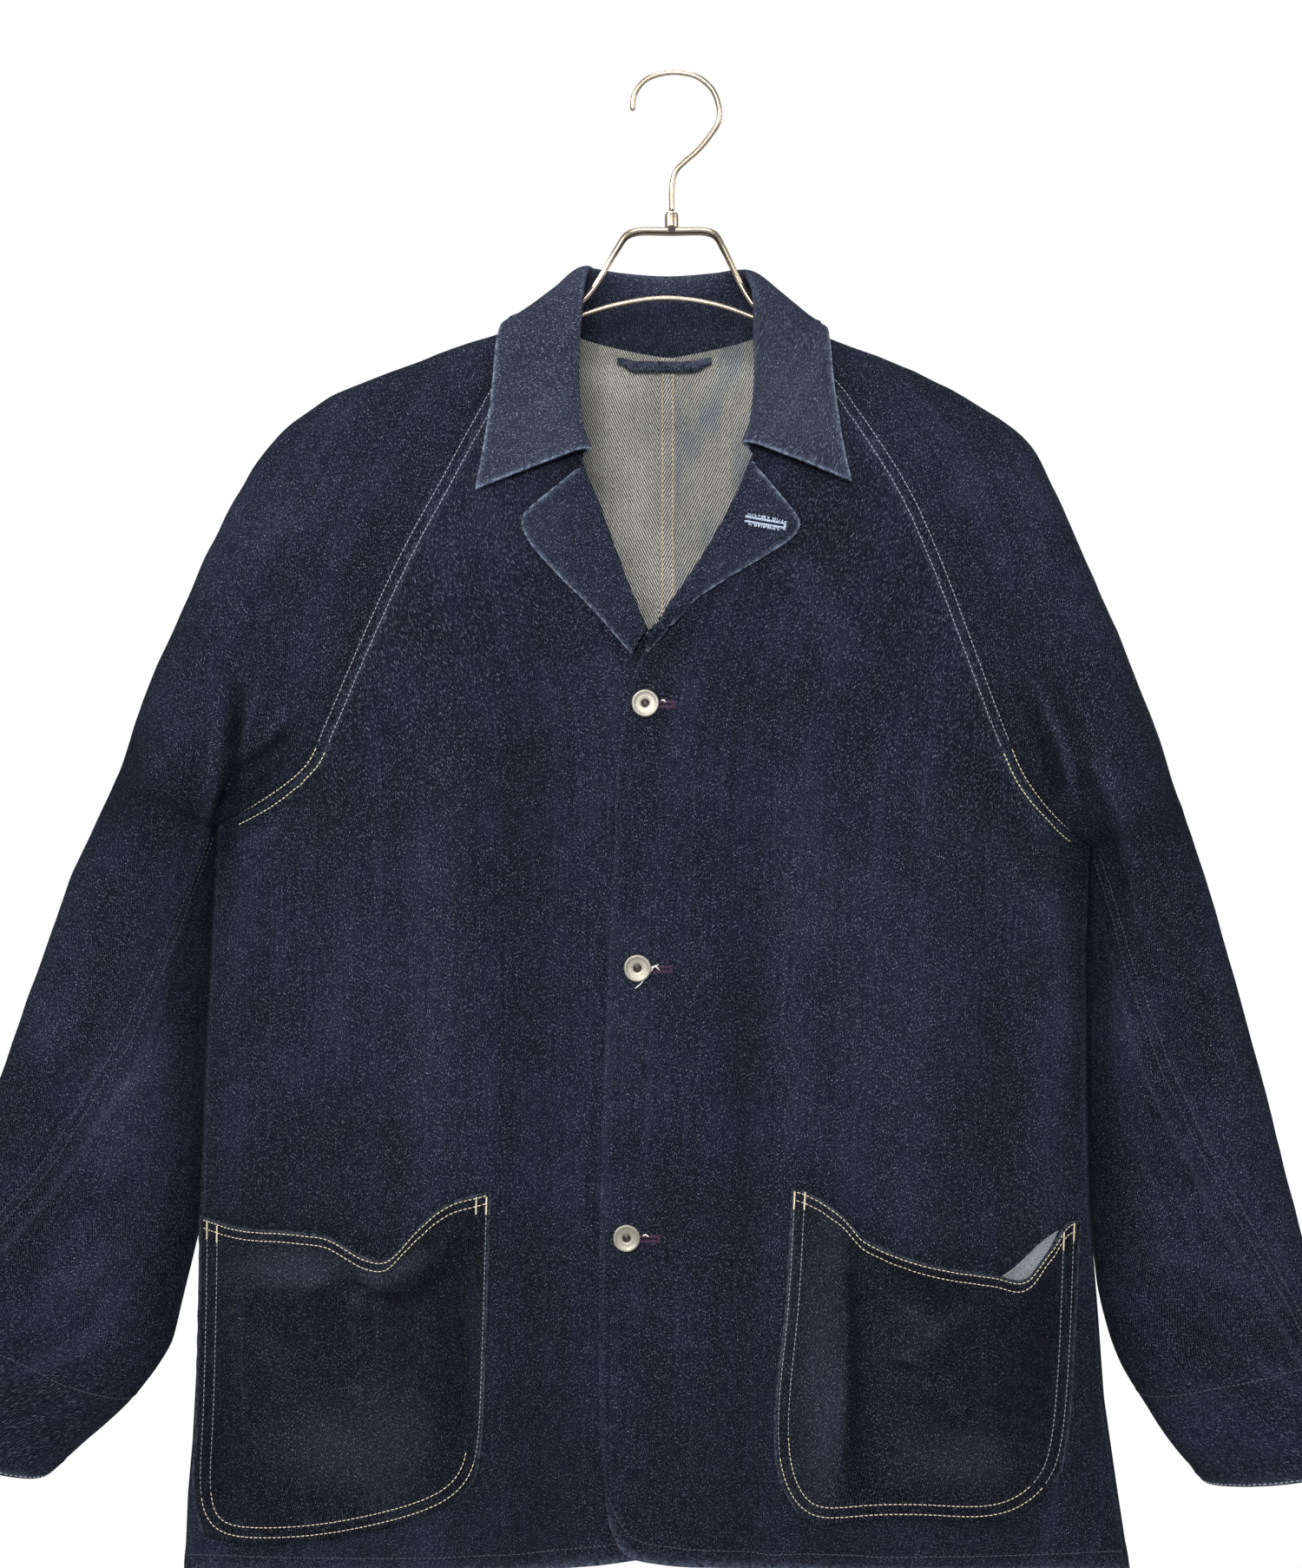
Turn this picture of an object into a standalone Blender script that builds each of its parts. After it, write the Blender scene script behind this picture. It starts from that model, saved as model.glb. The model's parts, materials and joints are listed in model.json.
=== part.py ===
"""A raglan-sleeved denim work jacket on a metal clothes hanger.

Run with: blender --background --python part.py

Frame: metres, +Z up, the jacket's front faces -Y, and +X is the wearer's left. The origin is the
inner crest of the hanger's hook, where a rail or a peg carries it. Lengths in the lists below are
millimetres, as a pattern cutter writes them, and MM turns them into metres.

Every piece of cloth is a grid of points on its inner face, given a wall of its real thickness. The
front outlines are written as they are seen from EYE, in the plane of the hanger, and sight() moves
each point along its line of sight to the depth at which the cloth hangs.
"""

import bpy
import numpy as np
from mathutils.bvhtree import BVHTree

MM = 0.001
WALL = 1.5                      # one layer of heavy denim, with its seam allowances
HALF_GAP = 0.16                 # each piece stops this far from the middle of a seam
EYE = np.array([-19.0, -1600.0, -457.0])

CAP_ROWS = 11                   # rows of points from the neck to the underarm
BODY_ROWS = 10                  # rows from the underarm to the hem
TUBE_ROWS = 11                  # rows of a sleeve from the underarm to the cuff
FRONT_COLUMNS = 11
BACK_COLUMNS = 7
SLEEVE_COLUMNS = 19

CENTRE_BACK = -8.0
SIDE_CURVE = 2.6                # power of the rounded cross-section of the body
SET_BACK = 2.5                  # the under front lies this much deeper than the over front
UNDERARM_WAY = np.array([0, 0.71, -0.71])   # the walls that meet at the underarm turn down and back

# Depth of the body in front of and behind the hanger's plane, at heights below the hook.
DEPTH_HEIGHTS = [-152, -166, -178, -204, -225, -260, -320, -400, -550, -750, -966]
FRONT_DEPTHS = [10, 17, 24, 36, 44, 52, 60, 66, 65, 60, 55]
BACK_DEPTHS = [20, 36, 47, 53, 56, 58, 60, 60, 56, 50, 45]

# Outer limits of the body, down from the neck over the shoulder and the side.
LIMITS = {
    "right": [(-87, -153), (-108, -162), (-160, -183), (-229, -211), (-264, -239), (-281, -266),
              (-291, -300), (-296, -400), (-297.5, -483), (-301.5, -567), (-305.5, -651),
              (-308.5, -735), (-310, -825), (-313, -881), (-316, -915), (-318, -966)],
    "left": [(69, -155), (90, -165), (128, -183), (187, -211), (223, -239), (238, -266),
             (248, -300), (257, -400), (263.5, -497), (260.5, -567), (260.5, -651), (262.5, -735),
             (267.5, -797), (271.5, -853), (279.5, -909), (288, -966)],
}

# Front raglan seams as seen, from the neck to the underarm.
FRONT_RAGLAN = {
    "right": [(-91, -171), (-106, -182), (-124, -205), (-157, -263), (-182, -309), (-212, -375),
              (-231, -420), (-242, -444), (-265, -464), (-297.5, -483)],
    "left": [(72, -173), (84, -181), (99, -195), (127, -232), (150, -269), (170, -314),
             (187, -359), (212, -426), (223, -452), (242, -478), (263.5, -497)],
}
BACK_RAGLAN = {
    "right": [(-74, -161), (-96, -190), (-128, -240), (-165, -305), (-205, -375), (-243, -435),
              (-272, -467), (-297.5, -483)],
    "left": [(56, -162), (76, -190), (104, -240), (137, -305), (174, -380), (208, -445),
             (237, -479), (263.5, -497)],
}

# Front edges as seen: neck seam, roll line and buttoned edge down to the hem.
NECK_SEAM = {
    "right": [(-64, -247), (-73, -222), (-83, -196), (-91, -171)],
    "left": [(47, -244), (56, -220), (65, -196), (72, -173)],
}
UPPER_EDGE = {
    "right": [(-64, -247), (-53, -275), (-41, -308), (-27, -345), (-17, -366), (-3, -395),
              (3, -430), (4, -483)],
    "left": [(47, -244), (36, -270), (17, -305), (-4, -338), (-18, -362), (-28, -381),
             (-34, -400), (-40, -436), (-42.5, -497)],
}
LOWER_EDGE = {
    "right": [(4, -483), (3, -600), (0, -750), (-2, -880), (-3, -953)],
    "left": [(-42.5, -497), (-46, -567), (-52, -752), (-51.5, -875), (-48, -922)],
}
HEM = {
    "right": [(-3, -953), (-60, -961), (-140, -965), (-240, -966), (-318, -966)],
    "left": [(-48, -922), (-44, -940), (-35, -954), (-12, -960), (60, -963), (180, -965),
             (288, -964)],
}

# Lapels as seen: roll line and free edge, both from the notch to the break above the top button.
LAPEL_ROLL = {
    "right": [(-63, -252), (-52, -281), (-40, -314), (-22, -357)],
    "left": [(46, -250), (35, -274), (16, -308), (-17, -357)],
}
LAPEL_EDGE = {
    "right": [(-104, -286), (-97, -302), (-81, -320), (-56, -345), (-31, -373)],
    "left": [(79, -290), (70, -300), (27, -326), (5, -341), (-22, -371)],
}

# Sleeves: the outer silhouette as seen, and the inner edge as (x, z, depth) in space.
SLEEVE_TOP = {
    "right": [(-87, -154), (-112, -166.5), (-160, -183), (-229, -211), (-264, -239), (-281, -266),
              (-295, -294), (-322, -350), (-346, -405), (-366, -452)],
    "left": [(69, -156), (92, -168.5), (128, -183), (187, -211), (223, -239), (238, -266),
             (251, -294), (274, -349), (297, -405), (324, -470)],
}
SLEEVE_OUTER = {
    "right": [(-366, -452), (-390, -517), (-431, -629), (-472, -741), (-488, -797), (-499, -859)],
    "left": [(324, -470), (337, -517), (368, -629), (396, -741), (410, -797), (433, -893)],
}
SLEEVE_INNER = {
    "right": [(-297.5, -483, 0), (-305, -491, 8), (-308, -516, 24), (-309, -560, 36),
              (-312, -651, 36), (-315, -735, 34), (-326, -785, 31), (-338, -828, 28),
              (-363, -862, 24), (-387, -884, 22), (-411, -902, 20)],
    "left": [(263.5, -497, 0), (270.5, -505, 8), (272, -530, 24), (270, -575, 36),
             (269, -651, 36), (271, -735, 34), (277, -790, 31), (290, -835, 28),
             (310, -868, 24), (326, -890, 22), (344, -911, 20)],
}
CUFF_MIDDLE = {"right": (-440, -889), "left": (401, -901)}
SLEEVE_DEPTHS = [48, 50, 48, 45, 42, 41, 40]        # half the depth, from underarm to cuff
SEAM_TURNS = [0, 34, 62, 85, 104, 124, 142, 152]     # degrees by which the sleeve seam wanders

# Patch pockets as seen: four edges that meet at the corners.
POCKET = {
    "right": {
        "mouth": [(-307, -735), (-281, -742), (-247, -744), (-224, -746.5), (-200, -760),
                  (-184, -762), (-166, -741), (-151, -727), (-123, -719)],
        "inner": [(-123, -719), (-126, -820), (-129, -885), (-133, -905), (-144, -918)],
        "bottom": [(-144, -918), (-160, -926), (-190, -935), (-240, -944), (-294, -944),
                   (-307, -939)],
        "outer": [(-307, -735), (-308, -800), (-310, -870), (-312, -915), (-307, -939)],
    },
    "left": {
        "mouth": [(72, -717), (91, -725), (121, -749), (158, -765), (198, -772), (218, -775),
                  (235, -757), (247, -740), (256, -738)],
        "inner": [(72, -717), (68, -790), (61, -870), (64, -905), (76, -929)],
        "bottom": [(76, -929), (90, -934), (112, -931), (155, -930), (193, -932), (216, -928),
                   (236, -914)],
        "outer": [(256, -738), (252, -836), (248, -880), (244, -900), (236, -914)],
    },
}
POCKET_ROWS = 9
POCKET_COLUMNS = 10
POCKET_SEAT = 0.9               # room between the pocket's edge and the front
POCKET_SAG = 8.0                # the mouth stands this far off the front

# Soft folds of the fronts and back: (top x, top z, bottom x, bottom z, half width, height out).
FRONT_FOLDS = [
    (-150, -400, -165, -930, 26, 9), (-97, -330, -88, -930, 22, -8), (-232, -520, -240, -930, 24, -5),
    (48, -400, 46, -930, 16, -6), (68, -400, 64, -930, 16, 7), (150, -430, 158, -930, 34, 5),
    (226, -470, 248, -930, 15, 6), (113, -640, 112, -960, 12, -3),
]
BACK_FOLDS = [
    (-190, -330, -215, -950, 34, 7), (-120, -330, -112, -950, 30, -6), (-55, -300, -58, -950, 26, 5),
    (45, -300, 40, -950, 28, 5), (105, -330, 98, -950, 30, -6), (170, -330, 195, -950, 34, 7),
]
SLEEVE_FOLDS = {
    "right": [(-249, -300, -302, -520, 13, -10), (-330, -420, -352, -700, 22, 5),
              (-372, -560, -420, -840, 16, -6)],
    "left": [(207, -340, 236, -470, 12, -10), (262, -400, 300, -640, 18, 5),
             (300, -560, 340, -840, 18, -6)],
}

# Collar as seen, front end to centre back: share of the neck seam, then x, z and depth.
COLLAR_ROLL = {
    "right": [(0, -62, -242, -53), (.1, -65.5, -229, -49), (.25, -68.5, -205, -40),
              (.43, -68, -170, -27), (.53, -65, -137, -10), (.6, -62, -126.5, 5),
              (.68, -57, -127.5, 20), (.84, -37.5, -131, 36), (1, -8.3, -133, 41)],
    "left": [(0, 44, -238, -53), (.1, 47.5, -226, -49), (.25, 50.5, -203, -40),
             (.43, 50.5, -170, -27), (.53, 49, -139, -11), (.6, 44.5, -129.5, 4),
             (.68, 39, -128.5, 20), (.84, 21, -131, 36), (1, -8.3, -133, 41)],
}
COLLAR_EDGE = {
    "right": [(0, -132, -267, -57), (.1, -127, -240, -53), (.22, -123, -215, -47),
              (.34, -120.5, -193, -38), (.44, -118, -170, -22), (.53, -113, -160.5, 2),
              (.67, -96, -175, 39), (.84, -54.5, -196, 60), (1, -8.4, -202, 63)],
    "left": [(0, 110, -262, -57), (.1, 105, -240, -53), (.22, 101, -215, -47),
             (.34, 98, -193, -38), (.44, 96, -172, -22), (.53, 93, -163, 2),
             (.67, 79, -176, 39), (.84, 37.5, -196, 60), (1, -8.4, -202, 63)],
}
COLLAR_STATIONS = 25
COLLAR_GAP = 1.5                # from the neck edge to the collar's stand
COLLAR_FOLD = 2.2               # inner radius of the turned-over roll

# Buttons and their loop at the neck.
BUTTON_RADIUS = 8.5
BUTTON_PLACES = [(-22.7, -404.9), (-27.8, -575.7), (-34.8, -749.6)]
BUTTON_PROFILE = [(0, 0), (6.0, 0), (8.0, 1.0), (8.5, 2.2), (7.7, 3.6), (6.3, 3.7), (5.2, 2.6),
                  (3.0, 2.1), (2.2, 2.9), (0, 3.3)]
BUTTON_SIDES = 20
LOOP_DEPTH = 5.0                # in front of the back's rounded face
LOOP_LEFT, LOOP_RIGHT, LOOP_TOP, LOOP_BOTTOM = -41.0, 20.0, -181.0, -187.5

# Hanger: hook wire, ferrule, pressed strip and lower rod, in the plane y = 0.
HOOK_WIRE = 1.8
HOOK = [(-31, -23), (-29.5, -12), (-22.5, -3), (-11, 1.4), (0, 1.8), (11, -1), (20.5, -9),
        (25, -21), (24.5, -30), (19, -39), (10.6, -49), (3, -55.5), (-3, -62), (-5.2, -70), (-5.6, -88)]
FERRULE_RADIUS, FERRULE_TOP, FERRULE_BOTTOM = 4.5, -88.4, -98.6
STRIP_THICK = 2.0
STRIP_DEPTH = 7.0               # half the strip's width at the neck, narrower along the arms
ARM_DEPTH = 3.5
STRIP = [(-203, -200.9), (-160, -183.9), (-112, -167.6), (-88, -158.3), (-68, -147), (-58, -137),
         (-42, -111), (-36, -102.5), (-29, -99.5), (-5.6, -99.2), (18, -99.5), (24, -102.5),
         (29, -111), (42, -137), (51, -149.5), (70, -161), (94, -170), (128, -184.6), (163, -199.3)]
ROD_RADIUS = 1.5
ROD = [(-196, -204.6), (-160, -191), (-110, -172), (-67.5, -155.6), (-40, -147.5), (-10.6, -143.5),
       (20, -147), (47.6, -156), (90, -175), (125, -190.6), (156, -204)]


def smoothstep(low, high, value):
    """0 below low, 1 above high, and a smooth rise between."""
    share = np.clip((np.asarray(value, float) - low) / (high - low), 0, 1)
    return share * share * (3 - 2 * share)


def through(places, points, at):
    """Smooth curve through points that stand at the given places, read at other places."""
    places, points, at = np.asarray(places, float), np.asarray(points, float), np.asarray(at, float)
    steps = np.diff(places)[:, None]
    slopes = np.diff(points, axis=0) / steps
    tangents = np.vstack([slopes[:1], (slopes[:-1] * steps[1:] + slopes[1:] * steps[:-1])
                          / (steps[:-1] + steps[1:]), slopes[-1:]])
    k = np.clip(np.searchsorted(places, at, side="right") - 1, 0, len(places) - 2)
    h = steps[k]
    t = ((at - places[k])[:, None]) / h
    return ((2 * t ** 3 - 3 * t ** 2 + 1) * points[k] + (t ** 3 - 2 * t ** 2 + t) * h * tangents[k]
            + (3 * t ** 2 - 2 * t ** 3) * points[k + 1] + (t ** 3 - t ** 2) * h * tangents[k + 1])


def along(keys, count):
    """Smooth curve through the keys, as count points at even steps of its length."""
    keys = np.asarray(keys, float)
    chords = np.concatenate([[0], np.cumsum(np.linalg.norm(np.diff(keys, axis=0), axis=1) ** 0.5)])
    fine = through(chords, keys, np.linspace(0, chords[-1], 40 * len(keys)))
    length = np.concatenate([[0], np.cumsum(np.linalg.norm(np.diff(fine, axis=0), axis=1))])
    even = np.linspace(0, length[-1], count)
    return np.stack([np.interp(even, length, fine[:, k]) for k in range(keys.shape[1])], axis=1)


def sight(x, z, depth):
    """The point at this depth that is seen at (x, z) in the hanger's plane."""
    share = (depth - EYE[1]) / -EYE[1]
    return np.stack([EYE[0] + (x - EYE[0]) * share, depth, EYE[2] + (z - EYE[2]) * share], axis=-1)


def limits(z):
    """Outer limits of the body at height z, on the wearer's right and left."""
    found = []
    for side in ("right", "left"):
        keys = np.array(LIMITS[side], float)[::-1]
        found.append(np.interp(z, keys[:, 1], keys[:, 0]))
    return found


def level(depths, z):
    """Depth of the body's middle at height z."""
    return np.interp(z, DEPTH_HEIGHTS[::-1], depths[::-1])


def across(x, z):
    """Place between the body's limits, from -1 to 1."""
    low, high = limits(z)
    return np.clip((2 * x - low - high) / (high - low), -1, 1)


def folds(ridges, x, z):
    """Height of the soft folds at (x, z): each is a ridge or a trough along a straight line."""
    height = np.zeros(np.broadcast(x, z).shape)
    for top_x, top_z, end_x, end_z, width, rise in ridges:
        share = (z - top_z) / (end_z - top_z)
        middle = top_x + (end_x - top_x) * share
        fade = smoothstep(-0.12, 0.25, share) * (1 - smoothstep(1.0, 1.25, share))
        height = height + rise * fade * np.exp(-((x - middle) / width) ** 2)
    return height


def front_depth(x, z):
    """Depth of the front's inner face, negative towards the viewer."""
    s = across(x, z)
    round_off = np.sqrt(1 - np.abs(s) ** SIDE_CURVE)
    return -level(FRONT_DEPTHS, z) * round_off - folds(FRONT_FOLDS, x, z) * round_off


def back_depth(x, z):
    """Depth of the back's inner face."""
    s = across(x, z)
    round_off = np.sqrt(1 - np.abs(s) ** SIDE_CURVE)
    return level(BACK_DEPTHS, z) * round_off + folds(BACK_FOLDS, x, z) * round_off


def set_back(side, x):
    """The under front lies deeper where the over front covers it."""
    return SET_BACK * smoothstep(-115, -65, x) if side == "right" else 0.0 * x


def fan(inner, outer, columns):
    """Rows of (x, z) from the inner to the outer boundary, even round the body's section."""
    t = np.linspace(0, 1, columns)[None, :]
    z = inner[:, 1:2] + (outer[:, 1:2] - inner[:, 1:2]) * t
    low, high = limits(z)
    start = np.arcsin(across(inner[:, 0], inner[:, 1]))[:, None]
    stop = np.arcsin(across(outer[:, 0], outer[:, 1]))[:, None]
    return (low + high) / 2 + (high - low) / 2 * np.sin(start + (stop - start) * t), z


def front_outline(side):
    """Inner and outer boundaries of a front, row by row, with the same rows as the back."""
    inner = np.vstack([along(UPPER_EDGE[side], CAP_ROWS + 1), along(LOWER_EDGE[side], BODY_ROWS + 1)[1:]])
    seam = along(FRONT_RAGLAN[side], CAP_ROWS + 1)
    heights = np.linspace(seam[-1, 1], HEM[side][-1][1], BODY_ROWS + 1)[1:]
    edge = np.stack([limits(heights)[0 if side == "right" else 1], heights], axis=1)
    return inner, np.vstack([seam, edge])


def front_grid(side):
    """Inner face of a front: rows fan from the neck seam down to the hem."""
    inner, outer = front_outline(side)
    x, z = fan(inner, outer, FRONT_COLUMNS)
    for row, curve, reach in ((0, NECK_SEAM[side], 4), (len(x) - 1, HEM[side], 3)):
        line = along(curve, FRONT_COLUMNS)
        shift_x, shift_z = line[:, 0] - x[row], line[:, 1] - z[row]
        for step in range(reach):
            fade = (1 - step / reach) ** 2
            k = step if row == 0 else row - step
            x[k] += shift_x * fade
            z[k] += shift_z * fade
    return sight(x, z, front_depth(x, z) + set_back(side, x))


def back_grid(side, front):
    """Inner face of half the back, which shares the side seam's points with the front."""
    seam = along(BACK_RAGLAN[side], CAP_ROWS + 1)
    outer = np.vstack([seam, front[CAP_ROWS + 1:, -1][:, [0, 2]]])
    heights = np.linspace(-175, seam[-1, 1] - 6, CAP_ROWS + 1)
    heights = np.concatenate([heights, np.linspace(heights[-1], -948, BODY_ROWS + 1)[1:]])
    inner = np.stack([np.full(len(heights), CENTRE_BACK), heights], axis=1)
    x, z = fan(inner, outer, BACK_COLUMNS)
    return np.stack([x, back_depth(x, z), z], axis=-1)


def sleeve_grid(side, front, back):
    """Inner face of a raglan sleeve, a strip wrapped round from its front seam to its back seam.

    Cap rows go from the front raglan seam over the shoulder to the back raglan seam, as a quarter
    ellipse each way. Tube rows are ellipses between the sleeve's inner and outer edges, and the two
    kinds blend towards the underarm.
    """
    top = along(SLEEVE_TOP[side], CAP_ROWS + 1)
    down = along(SLEEVE_OUTER[side], TUBE_ROWS + 1)[1:]
    outer = np.vstack([sight(top[:, 0], top[:, 1], np.linspace(2, 6, len(top))),
                       sight(down[:, 0], down[:, 1], np.linspace(7, 14, len(down)))])
    inner = along([(x, depth, z) for x, z, depth in SLEEVE_INNER[side]], TUBE_ROWS + 1)[1:]
    first = np.vstack([front[:CAP_ROWS + 1, -1], inner])
    last = np.vstack([back[:CAP_ROWS + 1, -1], inner])
    rows = CAP_ROWS + 1 + TUBE_ROWS
    down_share = np.clip((np.arange(rows) - CAP_ROWS) / TUBE_ROWS, 0, 1)[:, None]
    tube = smoothstep(0.2, 1, np.arange(rows) / CAP_ROWS)[:, None]
    half_depth = np.interp(down_share, np.linspace(0, 1, len(SLEEVE_DEPTHS)), SLEEVE_DEPTHS)
    turn = np.interp(down_share, np.linspace(0, 1, len(SEAM_TURNS)), SEAM_TURNS)
    seam_gap = np.where(down_share > 0, 0.2, 0)
    phi = np.radians(turn + seam_gap + np.linspace(0, 1, SLEEVE_COLUMNS) * (360 - 2 * seam_gap))
    wrapped = np.mod(phi, 2 * np.pi)
    wrapped[:CAP_ROWS + 1, -1] = 2 * np.pi
    ahead = wrapped <= np.pi
    half = np.where(ahead, wrapped, 2 * np.pi - wrapped)
    lens = np.interp(np.arange(rows), [0.2 * CAP_ROWS, CAP_ROWS, CAP_ROWS + 4], [0, 0.22, 1])[:, None]
    lateral = (1 - lens) * np.sin(half / 2) + lens * (1 - np.cos(half)) / 2
    start = np.where(ahead[..., None], first[:, None], last[:, None])
    point = start + (outer[:, None] - start) * lateral[..., None]
    plain = start[..., 1] * np.cos(half / 2) + outer[:, None, 1] * (1 - np.cos(half / 2))
    ring = start[..., 1] + (outer[:, None, 1] - start[..., 1]) * lateral
    depth = (1 - tube) * plain + tube * ring
    bulge = tube * half_depth * np.sin(half)
    crease = folds(SLEEVE_FOLDS[side], point[..., 0], point[..., 2]) * np.sin(half) ** 2
    point[..., 1] = depth + np.where(ahead, -bulge - crease, bulge + crease * 0.6)
    dip = CUFF_MIDDLE[side][1] - (outer[-1, 2] + inner[-1, 2]) / 2
    point[-1, :, 2] += dip * np.sin(half[-1])
    return point


def outwards(grid, away):
    """Unit normal at each point of a grid, turned to the side that away points to."""
    normal = np.cross(np.gradient(grid, axis=1), np.gradient(grid, axis=0))
    normal /= np.linalg.norm(normal, axis=-1, keepdims=True) + 1e-9
    return normal * (1 if (normal * away).sum() > 0 else -1)


def share_normals(first, second):
    """Both pieces turn their walls the same way along a shared seam, so the walls can't cross."""
    mean = first + second
    mean /= np.linalg.norm(mean, axis=-1, keepdims=True)
    first[...] = mean
    second[...] = mean


def unit(vectors):
    """The same directions, one long."""
    return vectors / (np.linalg.norm(vectors, axis=-1, keepdims=True) + 1e-9)


def part_seam(first, first_near, second, second_near):
    """Move two borders that share a seam apart, each HALF_GAP from the seam's middle."""
    way = unit(unit(first_near - first) - unit(second_near - second))
    first += HALF_GAP * way
    second -= HALF_GAP * way


def material(name, colour, roughness, metallic=0.0):
    """Principled BSDF of one plain finish."""
    made = bpy.data.materials.new(name)
    made.use_nodes = True
    shader = made.node_tree.nodes["Principled BSDF"]
    shader.inputs["Base Color"].default_value = (*colour, 1.0)
    shader.inputs["Roughness"].default_value = roughness
    shader.inputs["Metallic"].default_value = metallic
    made.diffuse_color = (*colour, 1.0)
    return made


def mesh_object(name, points, faces, finish, parent):
    """One closed mesh in millimetres, as an object in metres."""
    mesh = bpy.data.meshes.new(name)
    mesh.from_pydata([tuple(p * MM) for p in points], [], faces)
    mesh.materials.append(finish)
    mesh.shade_smooth()
    mesh.set_sharp_from_angle(angle=np.radians(40))
    made = bpy.data.objects.new(name, mesh)
    bpy.context.scene.collection.objects.link(made)
    made.parent = parent
    return made


def triangles(grid):
    """Two triangles for each cell of a grid, split along its shorter diagonal."""
    index = np.arange(grid.shape[0] * grid.shape[1]).reshape(grid.shape[:2])
    a, b, c, d = (block.ravel() for block in
                  (index[:-1, :-1], index[:-1, 1:], index[1:, 1:], index[1:, :-1]))
    flat = grid.reshape(-1, 3)
    short = np.linalg.norm(flat[a] - flat[c], axis=1) < np.linalg.norm(flat[b] - flat[d], axis=1)
    first = np.where(short, [a, b, c], [a, b, d]).T
    second = np.where(short, [a, c, d], [b, c, d]).T
    return np.vstack([first, second])


def shell(name, grid, normals, finish, parent, wall=WALL):
    """Closed wall on a grid: inner face, outer face moved along the normals, and four rims."""
    rows, columns = grid.shape[:2]
    outer = grid + normals * wall
    index = np.arange(rows * columns).reshape(rows, columns)
    high = index + rows * columns
    inner_faces = triangles(grid)
    outer_faces = inner_faces[:, ::-1] + rows * columns
    rim = np.concatenate([index[0], index[1:, -1], index[-1, -2::-1], index[-2:0:-1, 0]])
    up = np.concatenate([high[0], high[1:, -1], high[-1, -2::-1], high[-2:0:-1, 0]])
    rim_faces = np.vstack([np.stack([np.roll(rim, -1), rim, up], axis=1),
                           np.stack([np.roll(rim, -1), up, np.roll(up, -1)], axis=1)])
    faces = np.vstack([inner_faces, outer_faces, rim_faces])
    points = np.vstack([grid.reshape(-1, 3), outer.reshape(-1, 3)])
    if np.linalg.det((points - points.mean(axis=0))[faces]).sum() < 0:
        faces = faces[:, ::-1]
    return mesh_object(name, points, faces.tolist(), finish, parent)


def patch(edges, rows, columns):
    """Grid of (x, z) that fills four edges: mouth and bottom run across, inner and outer down."""
    across_first, across_last = along(edges["mouth"], columns), along(edges["bottom"], columns)
    down_first, down_last = along(edges["outer"], rows), along(edges["inner"], rows)
    if np.linalg.norm(across_first[0] - down_first[0]) > np.linalg.norm(across_first[0] - down_last[0]):
        down_first, down_last = down_last, down_first
    if np.linalg.norm(across_last[0] - down_first[-1]) > np.linalg.norm(across_last[-1] - down_first[-1]):
        across_last = across_last[::-1]
    u = np.linspace(0, 1, columns)[None, :, None]
    v = np.linspace(0, 1, rows)[:, None, None]
    ruled = (1 - v) * across_first[None] + v * across_last[None]
    ruled = ruled + (1 - u) * down_first[:, None] + u * down_last[:, None]
    corners = ((1 - u) * (1 - v) * across_first[0] + u * (1 - v) * across_first[-1]
               + (1 - u) * v * across_last[0] + u * v * across_last[-1])
    return ruled - corners


def outer_face(grid, ways):
    """The outer face of a panel's wall, for setting other pieces on it."""
    points = (grid + ways * WALL).reshape(-1, 3)
    return BVHTree.FromPolygons(points.tolist(), triangles(grid).tolist())


def front_point(side, x, z):
    """Point on a front's inner face and the normal there, by small steps across it."""
    x, z = np.broadcast_arrays(np.asarray(x, float), np.asarray(z, float))
    low, high = limits(z)
    x = np.clip(x, low + 1.5, high - 1.5)

    def place(px, pz):
        return sight(px, pz, front_depth(px, pz) + set_back(side, px))

    here, step = place(x, z), 1.0
    normal = np.cross(place(x + step, z) - place(x - step, z), place(x, z + step) - place(x, z - step))
    normal /= np.linalg.norm(normal, axis=-1, keepdims=True)
    return here, normal * np.where(normal[..., 1:2] > 0, -1, 1)


def raise_clear(grid, normal, face, room=0.35, passes=4):
    """Raise a piece's points until all of its faces clear the panel below by room."""
    shares = [(a, b) for a in np.linspace(0, 1, 5) for b in np.linspace(0, 1, 5)]
    for _ in range(passes):
        rise = np.zeros(grid.shape[:2])
        for a, b in shares:
            weights = ((1 - a) * (1 - b), (1 - a) * b, a * (1 - b), a * b)
            corners = (np.s_[:-1, :-1], np.s_[:-1, 1:], np.s_[1:, :-1], np.s_[1:, 1:])
            spot = sum(w * grid[k] for w, k in zip(weights, corners))
            way = sum(w * normal[k] for w, k in zip(weights, corners))
            for row, column in np.ndindex(spot.shape[:2]):
                near = face.find_nearest(spot[row, column])[0]
                short = room - np.dot(spot[row, column] - np.array(near), way[row, column])
                block = rise[row:row + 2, column:column + 2]
                np.maximum(block, short, out=block)
        grid += normal * rise[..., None]


def on_front(name, side, flat, lift, panel, finish, parent):
    """A piece that lies on a front: the front's own points, moved out by lift."""
    here, normal = front_point(side, flat[..., 0], flat[..., 1])
    face = outer_face(*panel)
    wanted = (here + normal * WALL).reshape(-1, 3)
    seated = np.array([face.find_nearest(point)[0] for point in wanted]).reshape(here.shape)
    grid = seated + normal * lift[..., None]
    raise_clear(grid, normal, face)
    return shell(name, grid, normal, finish, parent)


def lapel(side, panel, finish, parent):
    """Turned-back lapel between its roll line and its free edge."""
    roll, edge = along(LAPEL_ROLL[side], 9), along(LAPEL_EDGE[side], 9)
    t = np.linspace(0, 1, 6)
    flat = roll[:, None] + (edge - roll)[:, None] * t[None, :, None]
    lift = np.broadcast_to(0.4 + 3.0 * np.sin(np.pi * t) + 1.2 * t, flat.shape[:2])
    return on_front(f"lapel_{side}", side, flat, lift, panel, finish, parent)


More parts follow.
